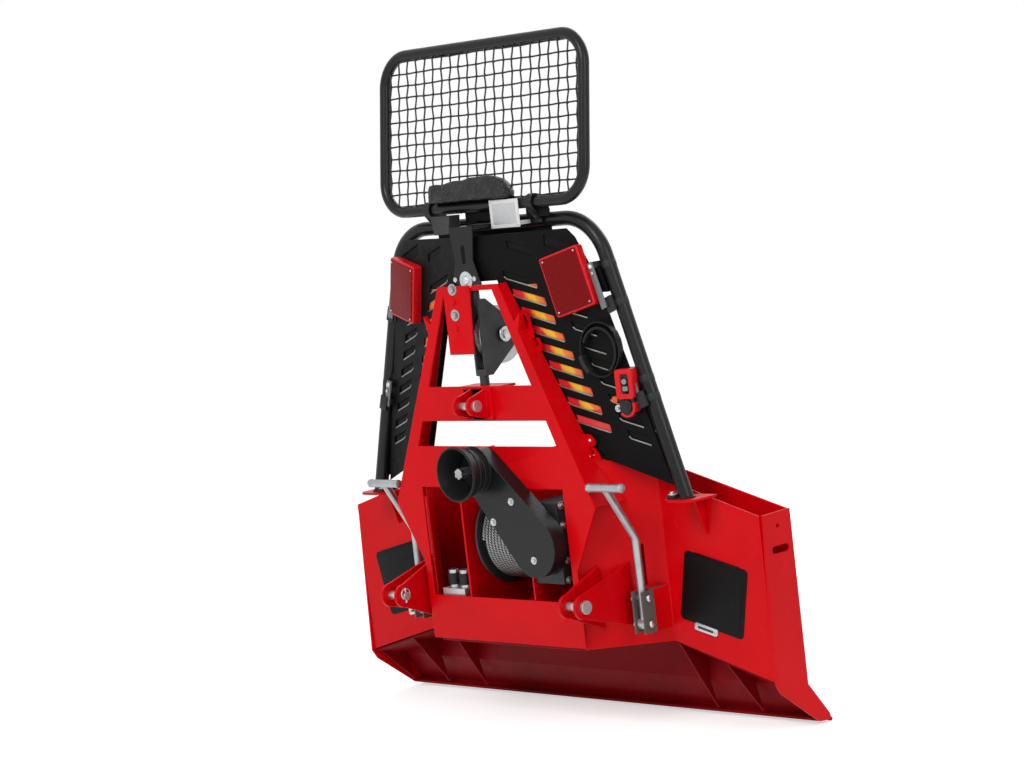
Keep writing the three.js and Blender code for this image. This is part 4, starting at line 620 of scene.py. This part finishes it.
# The mesh guard that saves the tractor's rear window: a closed frame of 36 mm tube, satin black,
# with a net of crimped 5.6 mm wires woven over and under each other, thicker where they cross,
# and welded into it. Three short rubber aprons hang from its lower rail.
GUARD_LEAN = 0.1489
GUARD_RISE = 0.5 / cos(GUARD_LEAN)
GUARD_HALF = 0.46
GUARD_BEND = 0.1
COLUMNS, ROWS = 22, 13
COLUMN_PITCH, ROW_PITCH = 0.0412, GUARD_RISE / ROWS
WIRE_RADIUS, KNOT_RADIUS = 0.0028, 0.0046
WEAVE, END_GAP = 0.0025, 0.004


def on_guard(x, up, back):
    """A point in metres on the guard's leaning plane, from the middle of its lower rail's axis."""
    c, s = cos(GUARD_LEAN), sin(GUARD_LEAN)
    return spot(0, -245, 1650) + Vector((x, back * c + up * s, up * c - back * s))


def into_corner(reach, straight):
    """How far in from the frame's straight edge its rounded corner brings a wire's end."""
    over = min(max(0.0, abs(reach) - straight), GUARD_BEND - 0.0001)
    return GUARD_BEND - (GUARD_BEND ** 2 - over ** 2) ** 0.5


def column_x(column):
    """How far a column's wire stands from the middle; halves lie between two wires."""
    return (column - (COLUMNS - 1) / 2) * COLUMN_PITCH


def side_margin(up):
    """How far in from the frame's side a height's wire ends."""
    return into_corner(up - GUARD_RISE / 2, GUARD_RISE / 2 - GUARD_BEND)


guard_corners = [on_guard(x, up, 0) for x, up in ((-GUARD_HALF, 0), (GUARD_HALF, 0), (GUARD_HALF, GUARD_RISE),
                                                  (-GUARD_HALF, GUARD_RISE))]
tube("mesh_guard_tube", [bent(guard_corners, GUARD_BEND, 12, ring=True)], 0.018, tube_black, "mesh_guard",
     ring=True, sides=7, node="mesh_guard_frame")
net_wire = metal("net_wire", (0.052, 0.050, 0.049), (0.024, 0.023, 0.022), 0.46, 500, 0.8)
wires = []
for column in range(COLUMNS):
    x = column_x(column)
    low = into_corner(x, GUARD_HALF - GUARD_BEND) + END_GAP
    high = GUARD_RISE - low
    heights = ((half / 2 + 0.5) * ROW_PITCH for half in range(2 * ROWS - 1))
    wire = []
    for up in [low, *(h for h in heights if low + END_GAP < h < high - END_GAP), high]:
        crossing = up / ROW_PITCH - 0.5 + column
        sway = 0.0014 * sin(9.1 * up / GUARD_RISE * (1 + column % 3) + 2.3 * column)
        wire.append(on_guard(x + sway, up, WEAVE * cos(pi * crossing)))
    wires.append(wire)
for row in range(ROWS):
    up = (row + 0.5) * ROW_PITCH
    reach = GUARD_HALF - END_GAP - side_margin(up)
    places = (column_x(half / 2) for half in range(2 * COLUMNS - 1))
    wire = []
    for x in [-reach, *(x for x in places if abs(x) < reach - END_GAP), reach]:
        crossing = x / COLUMN_PITCH + (COLUMNS - 1) / 2 + row + 1
        wire.append(on_guard(x, up + 0.0012 * sin(21 * x + 1.7 * row), WEAVE * cos(pi * crossing)))
    wires.append(wire)
tube("net_wires", wires, WIRE_RADIUS, net_wire, "mesh_guard", sides=2, node="mesh_guard_net")
knots = bmesh.new()
for column in range(COLUMNS):
    for row in range(ROWS):
        x, up = column_x(column), (row + 0.5) * ROW_PITCH
        if abs(x) < GUARD_HALF - 5 * END_GAP - side_margin(up):
            bmesh.ops.create_icosphere(knots, subdivisions=1, radius=KNOT_RADIUS,
                                       matrix=Matrix.Translation(on_guard(x + 0.0006, up, 0)))
finished("net_knots", knots, net_wire, "mesh_guard", 60)
apron = bmesh.new()
for wide in ((-84, 58), (195, 219), (253, 296)):
    box_of(apron, wide, (-241, -238), (1604, 1645))
finished("guard_apron", apron, skirt_rubber, "mesh_guard")

# The moulded pad over the guard's lower rail, ahead of the net: a stiff foam block in a soft
# black skin, which has creased as it was pressed down on the rail.
PAD_MESH = 0.016
PAD_SWELL = 0.0022
pad_skin, tree, place = coat_nodes("pad_skin")
stray = added(tree, "TexNoise", {"Vector": place, "Scale": 34, "Detail": 5}).outputs["Color"]
strayed = added(tree, "Mix", {"Factor": 0.10, "A": place, "B": stray}, data_type="VECTOR").outputs["Result"]
folds = added(tree, "TexVoronoi", {"Vector": strayed, "Scale": 27}, feature="DISTANCE_TO_EDGE")
creases = spread(tree, folds.outputs["Distance"], 0.0, 0.10, 0, 1)
grain = relief(tree, speckle(tree, place, 24, 3, 0.5), 0.012, 0.7)
# The crease lines are painted lighter than the skin around them: painted highlight where the crinkles catch
# the light.
laid_on(tree, base_color=tinted(tree, creases, (0.012, 0.012, 0.013), (0.003, 0.003, 0.0034)),
        roughness=spread(tree, speckle(tree, place, 60, 5), 0.3, 0.7, 0.20, 0.42),
        normal=relief(tree, creases, 0.004, 0.7, grain), specular_ior_level=0.4)
pad = merged("guard_pad")
bmesh.ops.triangulate(pad, faces=pad.faces)
for _ in range(5):
    long_edges = [e for e in pad.edges if e.calc_length() > PAD_MESH]
    bmesh.ops.subdivide_edges(pad, edges=long_edges, cuts=1, use_grid_fill=True)
    bmesh.ops.triangulate(pad, faces=pad.faces)
for _ in range(5):
    bmesh.ops.smooth_vert(pad, verts=pad.verts, factor=0.5, use_axis_x=True, use_axis_y=True, use_axis_z=True)
low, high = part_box("guard_pad")
for v in pad.verts:
    share = (v.co.z - low.z) / (high.z - low.z)
    ripple = sin(38 * v.co.x + 3) * sin(95 * v.co.z + 11 * v.co.x) + 0.6 * sin(83 * v.co.x - 60 * v.co.z)
    v.co += v.normal * (PAD_SWELL * ripple * min(1, 2 * share + 0.2) + PAD_SWELL)
bmesh.ops.recalc_face_normals(pad, faces=pad.faces)
finished("guard_pad_skin", pad, pad_skin, "mesh_guard", 80, "guard_pad")

# The bare number plate holder clipped over the hoop's top tube: a folded aluminium sheet,
# white round a grey reflective field, with a small screw in each corner.
plate_white = powder_coat("plate_white", (0.76, 0.76, 0.75), (0.66, 0.66, 0.65), 0.4, 0.2)
plate_grey = metal("plate_grey", (0.56, 0.57, 0.58), (0.44, 0.45, 0.46), 0.5, 300, 0.4)
softened("label_plate", plate_white, 0.0008)
field = plate_of([spot(x, -270.2, z) for x, z in ((76, 1590), (178, 1590), (178, 1654), (76, 1654))],
                 Vector((0, -0.0008, 0)))
finished("label_field", field, plate_grey, "frame")
bolted("label_screws", [(spot(x, -270, z), FORWARD, 0.006, 0.0022, False)
                        for x, z in ((69, 1585), (185, 1585), (69, 1659), (185, 1659))], zinc)

# The pulleys: cast steel sheaves with a thinner web, a hub and a round groove for the rope,
# bright where the rope has run. The upper one swivels in a forked head in the tower.
UPPER_AXLE, LOWER_AXLE = spot(0, -235, 1245), spot(0, 84, 268)
ROPE_GROOVE = 0.0065


def spun(profile, centre, axis, steps=56, shape=None):
    """Turns a closed profile of radius and place along the axis into a ring or a wheel."""
    shape = shape or bmesh.new()
    out = axis.orthogonal().normalized()
    dots = [shape.verts.new(centre + out * radius + axis * place) for radius, place in profile]
    sides = [shape.edges.new((dots[i - 1], dots[i])) for i in range(len(dots))]
    bmesh.ops.spin(shape, geom=dots + sides, cent=centre, axis=axis, angle=tau, steps=steps, use_merge=True)
    bmesh.ops.remove_doubles(shape, verts=shape.verts, dist=1e-6)
    bmesh.ops.recalc_face_normals(shape, faces=shape.faces)
    return shape


def sheave(node, radius, bore, groove, centre, body):
    """A rope pulley of 26 mm width in place of its node, its groove's bottom at the given radius."""
    half, hub, web = 0.013, bore + 0.012, groove - 0.012
    cheek = [(bore, half), (hub, half), (hub + 0.003, 0.006), (web - 0.004, 0.006), (web, half - 0.001),
             (web + 0.001, half), (radius - 0.001, half), (radius, half - 0.001), (radius, half - 0.0028)]
    curve = [(groove + ROPE_GROOVE - ROPE_GROOVE * cos(a), ROPE_GROOVE * sin(a))
             for a in (radians(-70 + 140 * k / 8) for k in range(9))]
    profile = [(out, -along) for out, along in cheek] + curve + cheek[::-1]
    finished(node + "_wheel", spun(profile, centre, ACROSS_AXIS), machined, body, sharp=32, node=node)


iron_grey = metal("iron_grey", (0.034, 0.036, 0.039), (0.020, 0.021, 0.022), 0.5, 220, 0.9, 0.35)
sheave("upper_pulley", 0.092, 0.0163, 0.075, UPPER_AXLE, "upper_sheave")
sheave("lower_pulley", 0.058, 0.0123, 0.040, LOWER_AXLE, "lower_sheave")
softened("pulley_head", iron_grey, 0.0015)
ends = [ACROSS_AXIS * face for face in (-1, 1)]
bolted("pulley_axle_nuts", [(UPPER_AXLE + end * 0.032, end, 0.026, 0.006, True, 0.002)
                            for end in ends], zinc, "head")
lower_rows = [(LOWER_AXLE + end * 0.032, end, 0.020, 0.006, True, 0.002) for end in ends]
lower_rows += [(spot(x, 8, z), REARWARD, 0.017, 0.008, True, 0.002) for x in (-44, 44) for z in (220, 316)]
bolted("lower_pulley_fittings", lower_rows, zinc)

# The rope drum between its two side plates: a cast drum with high flanges, a turned brake rim
# and a clutch face, and one full layer of 12 mm stranded steel rope on its core.
DRUM_AXLE = spot(0, -184, 600)
CORE_RADIUS = 0.1275
ROPE_PITCH, ROPE_TURNS, ROPE_STEPS = 14.4, 12, 40
DRUM_PROFILE = ((0.0256, -0.143), (0.118, -0.143), (0.120, -0.141), (0.120, -0.103), (0.156, -0.103),
                (0.158, -0.101), (0.158, -0.097), (0.156, -0.095), (CORE_RADIUS, -0.095),
                (CORE_RADIUS, 0.095), (0.156, 0.095), (0.158, 0.097), (0.158, 0.101), (0.156, 0.103),
                (0.100, 0.103), (0.100, 0.119), (0.098, 0.121), (0.0256, 0.121))
finished("drum_casting", spun(DRUM_PROFILE, DRUM_AXLE, ACROSS_AXIS, 96), iron_grey, "drum",
         32, "drum")

rope_steel, tree, place = coat_nodes("rope_steel")
centred = added(tree, "Mapping", {"Vector": place, "Location": (0, -DRUM_AXLE.y, -DRUM_AXLE.z)})
axes = added(tree, "SeparateXYZ", {"Vector": centred.outputs["Vector"]}).outputs
round_drum = maths(tree, "ARCTAN2", axes["Y"], axes["Z"])
lay = maths(tree, "MULTIPLY_ADD", round_drum, 96, maths(tree, "MULTIPLY", axes["X"], 520))
ridges = spread(tree, maths(tree, "SINE", lay), -1, 1, 0, 1)
laid_on(tree, base_color=tinted(tree, ridges, (0.10, 0.10, 0.098), (0.42, 0.43, 0.43)),
        normal=relief(tree, ridges, 0.0016, 0.9), metallic=0.85,
        roughness=spread(tree, speckle(tree, place, 90, 3), 0.3, 0.7, 0.34, 0.5))
rope_route = []
for step in range(ROPE_TURNS * ROPE_STEPS + 1):
    turned = tau * step / ROPE_STEPS
    along = (ROPE_PITCH * step / ROPE_STEPS - ROPE_PITCH * ROPE_TURNS / 2) / 1000
    radius = CORE_RADIUS + 0.0064
    rope_route.append(DRUM_AXLE + Vector((along, -radius * cos(turned), radius * sin(turned))))
tube("rope_layer", [rope_route], 0.006, rope_steel, "drum", sides=4, node="rope_winding")

# The shaft, crown wheel, pinion and roller chain that drive the drum: bare steel, oiled,
# with the cast gear case, the pressed chain guard and the moulded shroud round them.
oiled = metal("oiled_steel", (0.26, 0.26, 0.255), (0.10, 0.095, 0.085), 0.28, 500, 0.9)
shroud_plastic = satin_coat("shroud_plastic", (0.007, 0.007, 0.0075), (0.02, 0.02, 0.02), 0.5)
for node in ("drum_shaft", "crown_wheel", "pinion_shaft"):
    softened(node, oiled, 0.0005, 1)
softened("pto_shaft", machined, 0.0005, 1)
softened("drive_chain", oiled, 0.0004, 1)
softened("brake_band", iron_grey, 0.001)
softened("gearbox_case", iron_grey, 0.004, 3)
softened("chain_guard", tube_black, 0.002, 3)
softened("pto_guard", shroud_plastic, 0.0012)
case_places = [(y, z) for y in (-310, -246, -182, -118, -80) for z in (484, 716)]
case_places += [(y, z) for z in (546, 654) for y in (-310, -80)]
case_rows = [(spot(272, y, z), ACROSS_AXIS, 0.013, 0.006, True, 0.0015) for y, z in case_places]
bolted("case_bolts", case_rows + [(spot(272, -196, 492), ACROSS_AXIS, 0.022, 0.008, True, 0.002)], zinc)
bolted("chain_guard_bolts", [(spot(x, -402, z), FORWARD, 0.013, 0.006, True, 0.0015)
                             for x, z in ((150, 742), (60, 676), (224, 560))], zinc)
rings = bmesh.new()
for y, radius in ((-482, 0.0865), (-446, 0.0775), (-420, 0.0705)):
    rib = [(radius - 0.003, -0.002), (radius, -0.002), (radius + 0.001, 0), (radius, 0.002),
           (radius - 0.003, 0.002)]
    spun(rib, spot(0, y, 838), REARWARD, 48, rings)
finished("pto_guard_ribs", rings, shroud_plastic, "frame")

# The hydraulic valve block on the hitch beam: bright machined aluminium with two solenoids,
# their black coils and hexagonal port plugs.
softened("valve_block", zinc, 0.0012)
coils = bmesh.new()
for x in (-270, -218):
    rod(coils, spot(x, -301, 449), spot(x, -301, 486), 0.0205, 28, 0.0015)
    strip(coils, spot(x, -301, 486), spot(x, -301, 500), FORWARD, 0.018, 0.018, 0.001)
finished("solenoid_coils", coils, shroud_plastic, "frame")
bolted("valve_plugs", [(spot(-296, -301, z), -ACROSS_AXIS, 0.014, 0.005, True, 0.001)
                       for z in (378, 414)], zinc)

# The pins the winch hangs by: turned and plated, the two lower ones through the hitch brackets
# with a spring linch pin in each, and the top-link pin with its own small linch pin.
LOWER_PIN_X, TOP_PIN_X = 369, -46


def wire_ring(shape, centre, radius, wire):
    """Adds a ring of round wire to the shape, about an axis that lies across the winch."""
    round_wire = [(radius + wire * cos(a), wire * sin(a)) for a in (tau * n / 8 for n in range(8))]
    spun(round_wire, centre, ACROSS_AXIS, 28, shape)


for node in ("left_hitch_pin", "right_hitch_pin", "top_link_pin"):
    softened(node, zinc, 0.001)
linch_pins = bmesh.new()
for x in (-LOWER_PIN_X, LOWER_PIN_X):
    rod(linch_pins, spot(x, -430, 408), spot(x, -430, 456), 0.0038, 16, 0.0008)
    wire_ring(linch_pins, spot(x, -430, 436), 0.0175, 0.0019)
rod(linch_pins, spot(TOP_PIN_X, -402, 1022), spot(TOP_PIN_X, -402, 1059), 0.0028, 16, 0.0006)
wire_ring(linch_pins, spot(TOP_PIN_X, -402, 1041), 0.0145, 0.0016)
finished("linch_pins", linch_pins, zinc)

# The parking legs: hot-dip galvanised bar, each folded up on a clevis pin in a grey channel and
# kept there by a second pin, both with a ring. The channel stands on a red post on the panel.
LEG_X, LEG_PIN_Y, POST_FRONT_Y = 510, -240, -213
channel_grey = satin_coat("channel_grey", (0.115, 0.103, 0.092), (0.17, 0.155, 0.14), 0.42, 0.4)
galvanised = metal("galvanised", (0.44, 0.465, 0.475), (0.30, 0.32, 0.335), 0.42, 46, 0.75)


def rods(name, rows, material, body="frame"):
    """One piece of the round bars in the rows, each with its ends, radius, sides and chamfer."""
    bars = bmesh.new()
    for row in rows:
        rod(bars, *row)
    return finished(name, bars, material, body)


for turn, side in BOTH_SIDES:
    softened(f"{side}_parking_leg", galvanised, 0.0012, 2, 40)
    bracket = softened(f"{side}_leg_bracket", [channel_grey, red_coat], 0.0012)
    for face in bracket.data.polygons:
        face.material_index = int(face.center.y > spot(0, POST_FRONT_Y, 0).y)
    pins = bmesh.new()
    for z in (345, 424):
        rod(pins, spot(turn * 480, LEG_PIN_Y, z), spot(turn * 543, LEG_PIN_Y, z), 0.0075, 20, 0.001)
        bolt(pins, spot(turn * 541, LEG_PIN_Y, z), ACROSS_AXIS * turn, 0.022, 0.004, False)
        wire_ring(pins, spot(turn * 483.5, LEG_PIN_Y - 10, z), 0.010, 0.0014)
    finished(f"{side}_leg_pins", pins, zinc)
    rods(f"{side}_foot_ends", [(spot(turn * LEG_X + end * 58, -344.9, 780),
                                spot(turn * LEG_X + end * 72.6, -344.9, 780), 0.0138, 24, 0.002)
                               for end in (-1, 1)], galvanised, f"{side}_leg")

# The storage lids: smooth black moulded covers hinged at their upper edge over the panel's
# hollow, held shut by a grey pressed catch at the lower edge.
LID_MIDDLE = (707, -130, 421)
LID_LEAN = -0.225
CATCH = (-18, -115)
lid_black = satin_coat("lid_black", (0.0036, 0.0036, 0.0039), (0.010, 0.010, 0.010), 0.40, 0.11)
LID_SLABS = (
    ("lid_cover", (0, 0), (258, 220), 16, 4.2, 0.2, 0.003, lid_black, "plastic", "storage_lid"),
    ("lid_boss", (0, 0), (226, 188), 12, 5.2, 4.0, 0.001, lid_black, "plastic", None),
    ("lid_catch", CATCH, (94, 24), 8, 9.2, 0.2, 0.0022, zinc, "galvanised", None),
    ("catch_groove", CATCH, (64, 8), 3.8, 9.6, 9.0, 0.0003, iron_grey, "galvanised", None),
)


def lid_point(side, right, up, depth):
    """A point on a lid, from the middle of its face in its own turned plane."""
    c, s = cos(LID_LEAN), sin(LID_LEAN)
    x, y, z = LID_MIDDLE
    return spot(side * (x + right * c - up * s), y - depth, z + right * s + up * c)


for turn, side in BOTH_SIDES:
    lid, body = partial(lid_point, turn), f"{side}_lid"
    for name, middle, size, radius, front, rear, edge, coat, slot, node in LID_SLABS:
        slab = slab_on(lid, rounded(middle, size, radius, 8), front, rear, edge)
        finished(f"{side}_{name}", slab, coat, body, 50, node and f"{side}_{node}")
    rods(f"{side}_lid_hinge", [(lid(-90, 108, 4.6), lid(90, 108, 4.6), 0.0034, 20, 0.0008)], lid_black,
         body)
    bolted(f"{side}_catch_rivets", [(lid(right, CATCH[1], 9.0), FORWARD, 0.009, 0.003, False)
                                    for right in (-58, 22)], machined, body)

# The hand controller, hung on the left shield: a black shell with a bright red moulded guard
# round its two keys, a red hook round its foot, and an orange plug and a bolt beside it.
CONTROL_MIDDLE = (543, 1055)
NOSE_HEIGHT = -44
shell_black = satin_coat("shell_black", (0.006, 0.006, 0.0065), (0.02, 0.02, 0.02), 0.36)
face_red = powder_coat("face_red", (0.78, 0.012, 0.018), (0.66, 0.010, 0.014), 0.3, 0.2)
plug_orange = powder_coat("plug_orange", (0.86, 0.17, 0.06), (0.76, 0.13, 0.05), 0.36, 0.1)
badge_grey = satin_coat("badge_grey", (0.26, 0.27, 0.28), (0.40, 0.41, 0.42), 0.4)


def control_point(right, up, depth):
    """A point on the controller, from the middle of its face on the left shield's plane."""
    return on_wing(1, CONTROL_MIDDLE[0] + right * cos(WING_TURN), CONTROL_MIDDLE[1] + up, depth)


def band_slab(outer, inner, front, rear, edge, closed=True):
    """A flat band on the controller between an outer and an inner line of points."""
    slab = bmesh.new()
    lines = []
    for line in (outer, inner):
        dots = [slab.verts.new(control_point(right, up, rear)) for right, up in line]
        lines += [slab.edges.new(pair) for pair in zip(dots, dots[1:] + (dots[:1] if closed else []))]
    band = bmesh.ops.bridge_loops(slab, edges=lines)["faces"]
    pushed(slab, band, control_point(0, 0, front) - control_point(0, 0, rear))
    return rim_rolled(slab, control_point, front, edge, 3)


shell = merged("hand_controller")
shell_middle = control_point(0, 0, -18)
rightward = (control_point(1, 0, 0) - control_point(0, 0, 0)).normalized()
outer_edges = []
for edge in shell.edges:
    away = sum((v.co for v in edge.verts), Vector()) / 2 - shell_middle
    outside = abs(away.dot(rightward)) > 0.020 or abs(away.z) > 0.062
    if outside and edge.is_convex and edge.calc_face_angle(0) > radians(40):
        outer_edges.append(edge)
rolled(shell, outer_edges, 0.003, 4)
finished("hand_controller_shell", shell, shell_black, "frame", 50, "hand_controller")
guard = band_slab(rounded((0, 26.5), (61, 91), 10), rounded((2, 27), (28, 60), 5), -40, -3, 0.003)
finished("controller_guard", guard, face_red, "frame", 50)
arc = [radians(28 - 168 * k / 18) for k in range(19)]
hook = band_slab([(31 * cos(a), NOSE_HEIGHT + 31 * sin(a)) for a in arc],
                 [(22 * cos(a), NOSE_HEIGHT + 24 * sin(a)) for a in arc], -38, -6, 0.002, closed=False)
finished("controller_hook", hook, face_red, "frame", 50)
rods("controller_nose", [(control_point(0, -40, -39), control_point(0, -40, -33), 0.019, 32, 0.003),
                         (control_point(0, -40, -41), control_point(0, -40, -38), 0.011, 28, 0.0012)],
     shell_black)
badge = band_slab(rounded((1, 12.5), (18, 14), 2), rounded((1, 12.5), (2, 1), 0.3), -36.2, -33, 0.0008)
finished("controller_badge", badge, badge_grey, "frame", 50)
softened("pull_button", badge_grey, 0.0012, 3)
softened("release_button", shell_black, 0.0012, 3)
rods("orange_plug", [(control_point(-56, -22, 0), control_point(-56, -22, -14), 0.011, 28, 0.003)],
     plug_orange)
out_of_shield = (control_point(0, 0, -1) - control_point(0, 0, 0)).normalized()
bolted("plug_bolt", [(control_point(-54, -50, 0), out_of_shield, 0.012, 0.006, False, 0.0015)], zinc)

# The controller's carrying strap: a loop of black rubber webbing, ribbed across, with a thick
# moulded keeper low on its outer side.
STRAP_MIDDLE, STRAP_REACH, STRAP_DEPTH = (459, 1184), (58, 71), -13
KEEPER_MIDDLE, KEEPER_REACH, KEEPER_DEPTH = (461, 1189), (73, 88), -12.5
collar_rubber = satin_coat("collar_rubber", (0.010, 0.010, 0.010), (0.03, 0.03, 0.03), 0.6)
webbing, tree, place = coat_nodes("webbing")
weave = added(tree, "TexWave", {"Vector": place, "Scale": 150}, bands_direction="Z").outputs["Fac"]
laid_on(tree, base_color=tinted(tree, weave, (0.004, 0.004, 0.004), (0.014, 0.014, 0.0145)),
        normal=relief(tree, weave, 0.0006, 0.6), roughness=0.55, specular_ior_level=0.2)


def strap_spot(middle, reach, angle, depth):
    """A point on a turn of the strap, a flattened ring on the left shield's plane."""
    x = middle[0] + reach[0] * cos(angle) * cos(WING_TURN)
    return on_wing(1, x, middle[1] + reach[1] * sin(angle), depth)


softened("controller_strap", webbing, 0.001, 2, 60)
second_turn = bmesh.new()
turns = [radians(-62 + 218 * k / 26) for k in range(27)]
for start, end in zip(turns, turns[1:]):
    first, last = (strap_spot(STRAP_MIDDLE, STRAP_REACH, a, STRAP_DEPTH) for a in (start, end))
    reaches = (STRAP_REACH, (STRAP_REACH[0] + 1, STRAP_REACH[1] + 1))
    inner, outer = (strap_spot(STRAP_MIDDLE, reach, (start + end) / 2, STRAP_DEPTH) for reach in reaches)
    strip(second_turn, first, last + (last - first) * 0.06, outer - inner, 0.024, 0.0085, 0.0012)
finished("strap_second_turn", second_turn, webbing, "frame")
keeper = bmesh.new()
for low in (190, 200, 210, 220):
    start, end = (strap_spot(KEEPER_MIDDLE, KEEPER_REACH, radians(a), KEEPER_DEPTH) for a in (low, low + 11))
    inward = (on_wing(1, *KEEPER_MIDDLE, KEEPER_DEPTH) - start).normalized()
    strip(keeper, start, end, inward, 0.031, 0.015, 0.0035)
finished("strap_keeper", keeper, collar_rubber, "frame")

# The black packing plates on the two brackets beside the hoop's feet, each held by two bolts.
# They are cut from 12 mm rubber, and their bolts go through into the brackets.
PACKING_TOP = 742
packing = bmesh.new()
for wide in ((-684, -655), (655, 684)):
    plate = box_of(packing, wide, (-236, -168), (FOOT_Z, PACKING_TOP))
    rolled(packing, {e for v in plate for e in v.link_edges}, 0.002)
finished("foot_packing", packing, collar_grey, "frame")
bolted("packing_bolts", [(spot(x, y, PACKING_TOP), UPWARD, 0.013, 0.007, True, 0.0015)
                         for x in (-669, 669) for y in (-224, -184)], zinc)

# The round wear bar along the blade's lip: 12 mm bar, welded on from end to end,
# painted in the darker red that stands for the shade under the lip.
WEAR_RADIUS = 0.0062
rods("lip_wear_bar", [(spot(-929, 86, 6.5), spot(929, 86, 6.5), WEAR_RADIUS, 20, 0.001)], inner_red)

# The small red lugs welded along the outer side of each of the tower's legs: two open hooks for
# chains below the head, a rounded lug with a plated pin, and a short hook on the panel's crown.
LUG_PLATE = 0.006
LUG_PIN_Z = 912
PIN_LUG = [(17 + 19 * cos(radians(a)), LUG_PIN_Z + 19 * sin(radians(a))) for a in range(120, -121, -12)]
LUGS = {
    "chain_hook": ((-1, 1232), (10, 1236), (20, 1262), (27, 1300), (28, 1316), (22, 1323), (10, 1323),
                   (6, 1317), (8, 1311), (14, 1312), (17, 1306), (14, 1288), (6, 1268), (-1, 1262)),
    "small_hook": ((-1, 1190), (8, 1192), (18, 1204), (24, 1220), (22, 1232), (14, 1236), (10, 1231),
                   (14, 1224), (13, 1216), (6, 1208), (-1, 1206)),
    "crown_hook": ((-12, 851), (26, 851), (27, 868), (22, 884), (14, 890), (9, 886), (14, 874),
                   (8, 865.5), (-12, 865.5)),
    "pin_lug": ((-1, 932), *PIN_LUG, (-1, 888)),
}


def leg_edge(z):
    """How far out the outer side of the tower's leg stands at a height."""
    return 139 + 0.4597 * (1412 - z)


def lug_y(x):
    """Where a lug's front face stands, just ahead of the shield's plane."""
    return WING_START[1] - 15 + (x - WING_START[0]) * sin(WING_TURN) / cos(WING_TURN)


for turn, side in BOTH_SIDES:
    for name, outline in LUGS.items():
        ring = [(leg_edge(z) + outward, z) for outward, z in outline]
        y = lug_y(sum(x for x, _ in ring) / len(ring))
        plate = plate_of([spot(turn * x, y, z) for x, z in ring], REARWARD * LUG_PLATE)
        finished(f"{side}_{name}", plate, red_coat, "frame")
    pin = spot(turn * (leg_edge(LUG_PIN_Z) + 18), y, LUG_PIN_Z)
    bolted(f"{side}_lug_pin", [(pin, FORWARD, 0.012, 0.005, False)], zinc)

# The pale floor the winch stands over, a plain light world and three soft lamps. The floor and
# the world look white to the eye, to a mirror and through glass, and light the winch plainly.
WHITE = (1, 1, 1, 1)
FLOOR_Z = -0.432


def plain_sight(tree):
    """One where the eye, a mirror or glass looks at a surface, and nought for its light."""
    rays = tree.nodes.new("ShaderNodeLightPath").outputs
    seen = maths(tree, "MAXIMUM", rays["Is Camera Ray"], rays["Is Glossy Ray"])
    return maths(tree, "MAXIMUM", seen, rays["Is Transmission Ray"])


def soft_lamp(name, place, target, size, power):
    """A square area lamp at a place, turned to a target."""
    lamp = bpy.data.lights.new(name, "AREA")
    lamp.size = size
    lamp.energy = power
    holder = placed(name, lamp)
    turned = (Vector(place) - Vector(target)).to_track_quat("Z", "Y").to_matrix().to_4x4()
    holder.matrix_world = Matrix.Translation(Vector(place)) @ turned


floor_mesh = bmesh.new()
bmesh.ops.create_grid(floor_mesh, x_segments=1, y_segments=1, size=60)
bmesh.ops.translate(floor_mesh, vec=(0, 0, FLOOR_Z), verts=floor_mesh.verts)
floor_data = bpy.data.meshes.new("floor")
floor_mesh.to_mesh(floor_data)
floor_mesh.free()
floor = placed("floor", floor_data)
floor_coat, tree, place = coat_nodes("floor_coat")
laid_on(tree, base_color=(0.90, 0.90, 0.90, 1), roughness=0.9, specular_ior_level=0.1)
glow = {"Color": WHITE, "Strength": maths(tree, "MULTIPLY", plain_sight(tree), 0.56)}
lit = added(tree, "Emission", glow).outputs["Emission"]
both = added(tree, "AddShader", {0: tree.nodes["Principled BSDF"].outputs["BSDF"], 1: lit})
tree.links.new(both.outputs["Shader"], tree.nodes["Material Output"].inputs["Surface"])
floor_data.materials.append(floor_coat)

world = bpy.data.worlds.new("studio")
bpy.context.scene.world = world
world.use_nodes = True
tree = world.node_tree
sky = wired(tree, tree.nodes["Background"], {"Color": WHITE, "Strength": 0.50}).outputs["Background"]
clear = added(tree, "Background", {"Color": WHITE, "Strength": 1.0}).outputs["Background"]
choice = added(tree, "MixShader", {"Fac": plain_sight(tree), 1: sky, 2: clear})
tree.links.new(choice.outputs["Shader"], tree.nodes["World Output"].inputs["Surface"])

soft_lamp("key_lamp", (1.0, -5.5, 5.2), (0, 0.2, 0.6), 2.4, 205)
soft_lamp("fill_lamp", (6.0, -1.0, 3.2), (0, 0.2, 0.6), 3.0, 80)
soft_lamp("rim_lamp", (-1.0, 6.0, 4.0), (0, 0.2, 0.8), 3.0, 120)
bpy.context.scene.view_settings.view_transform = "Standard"
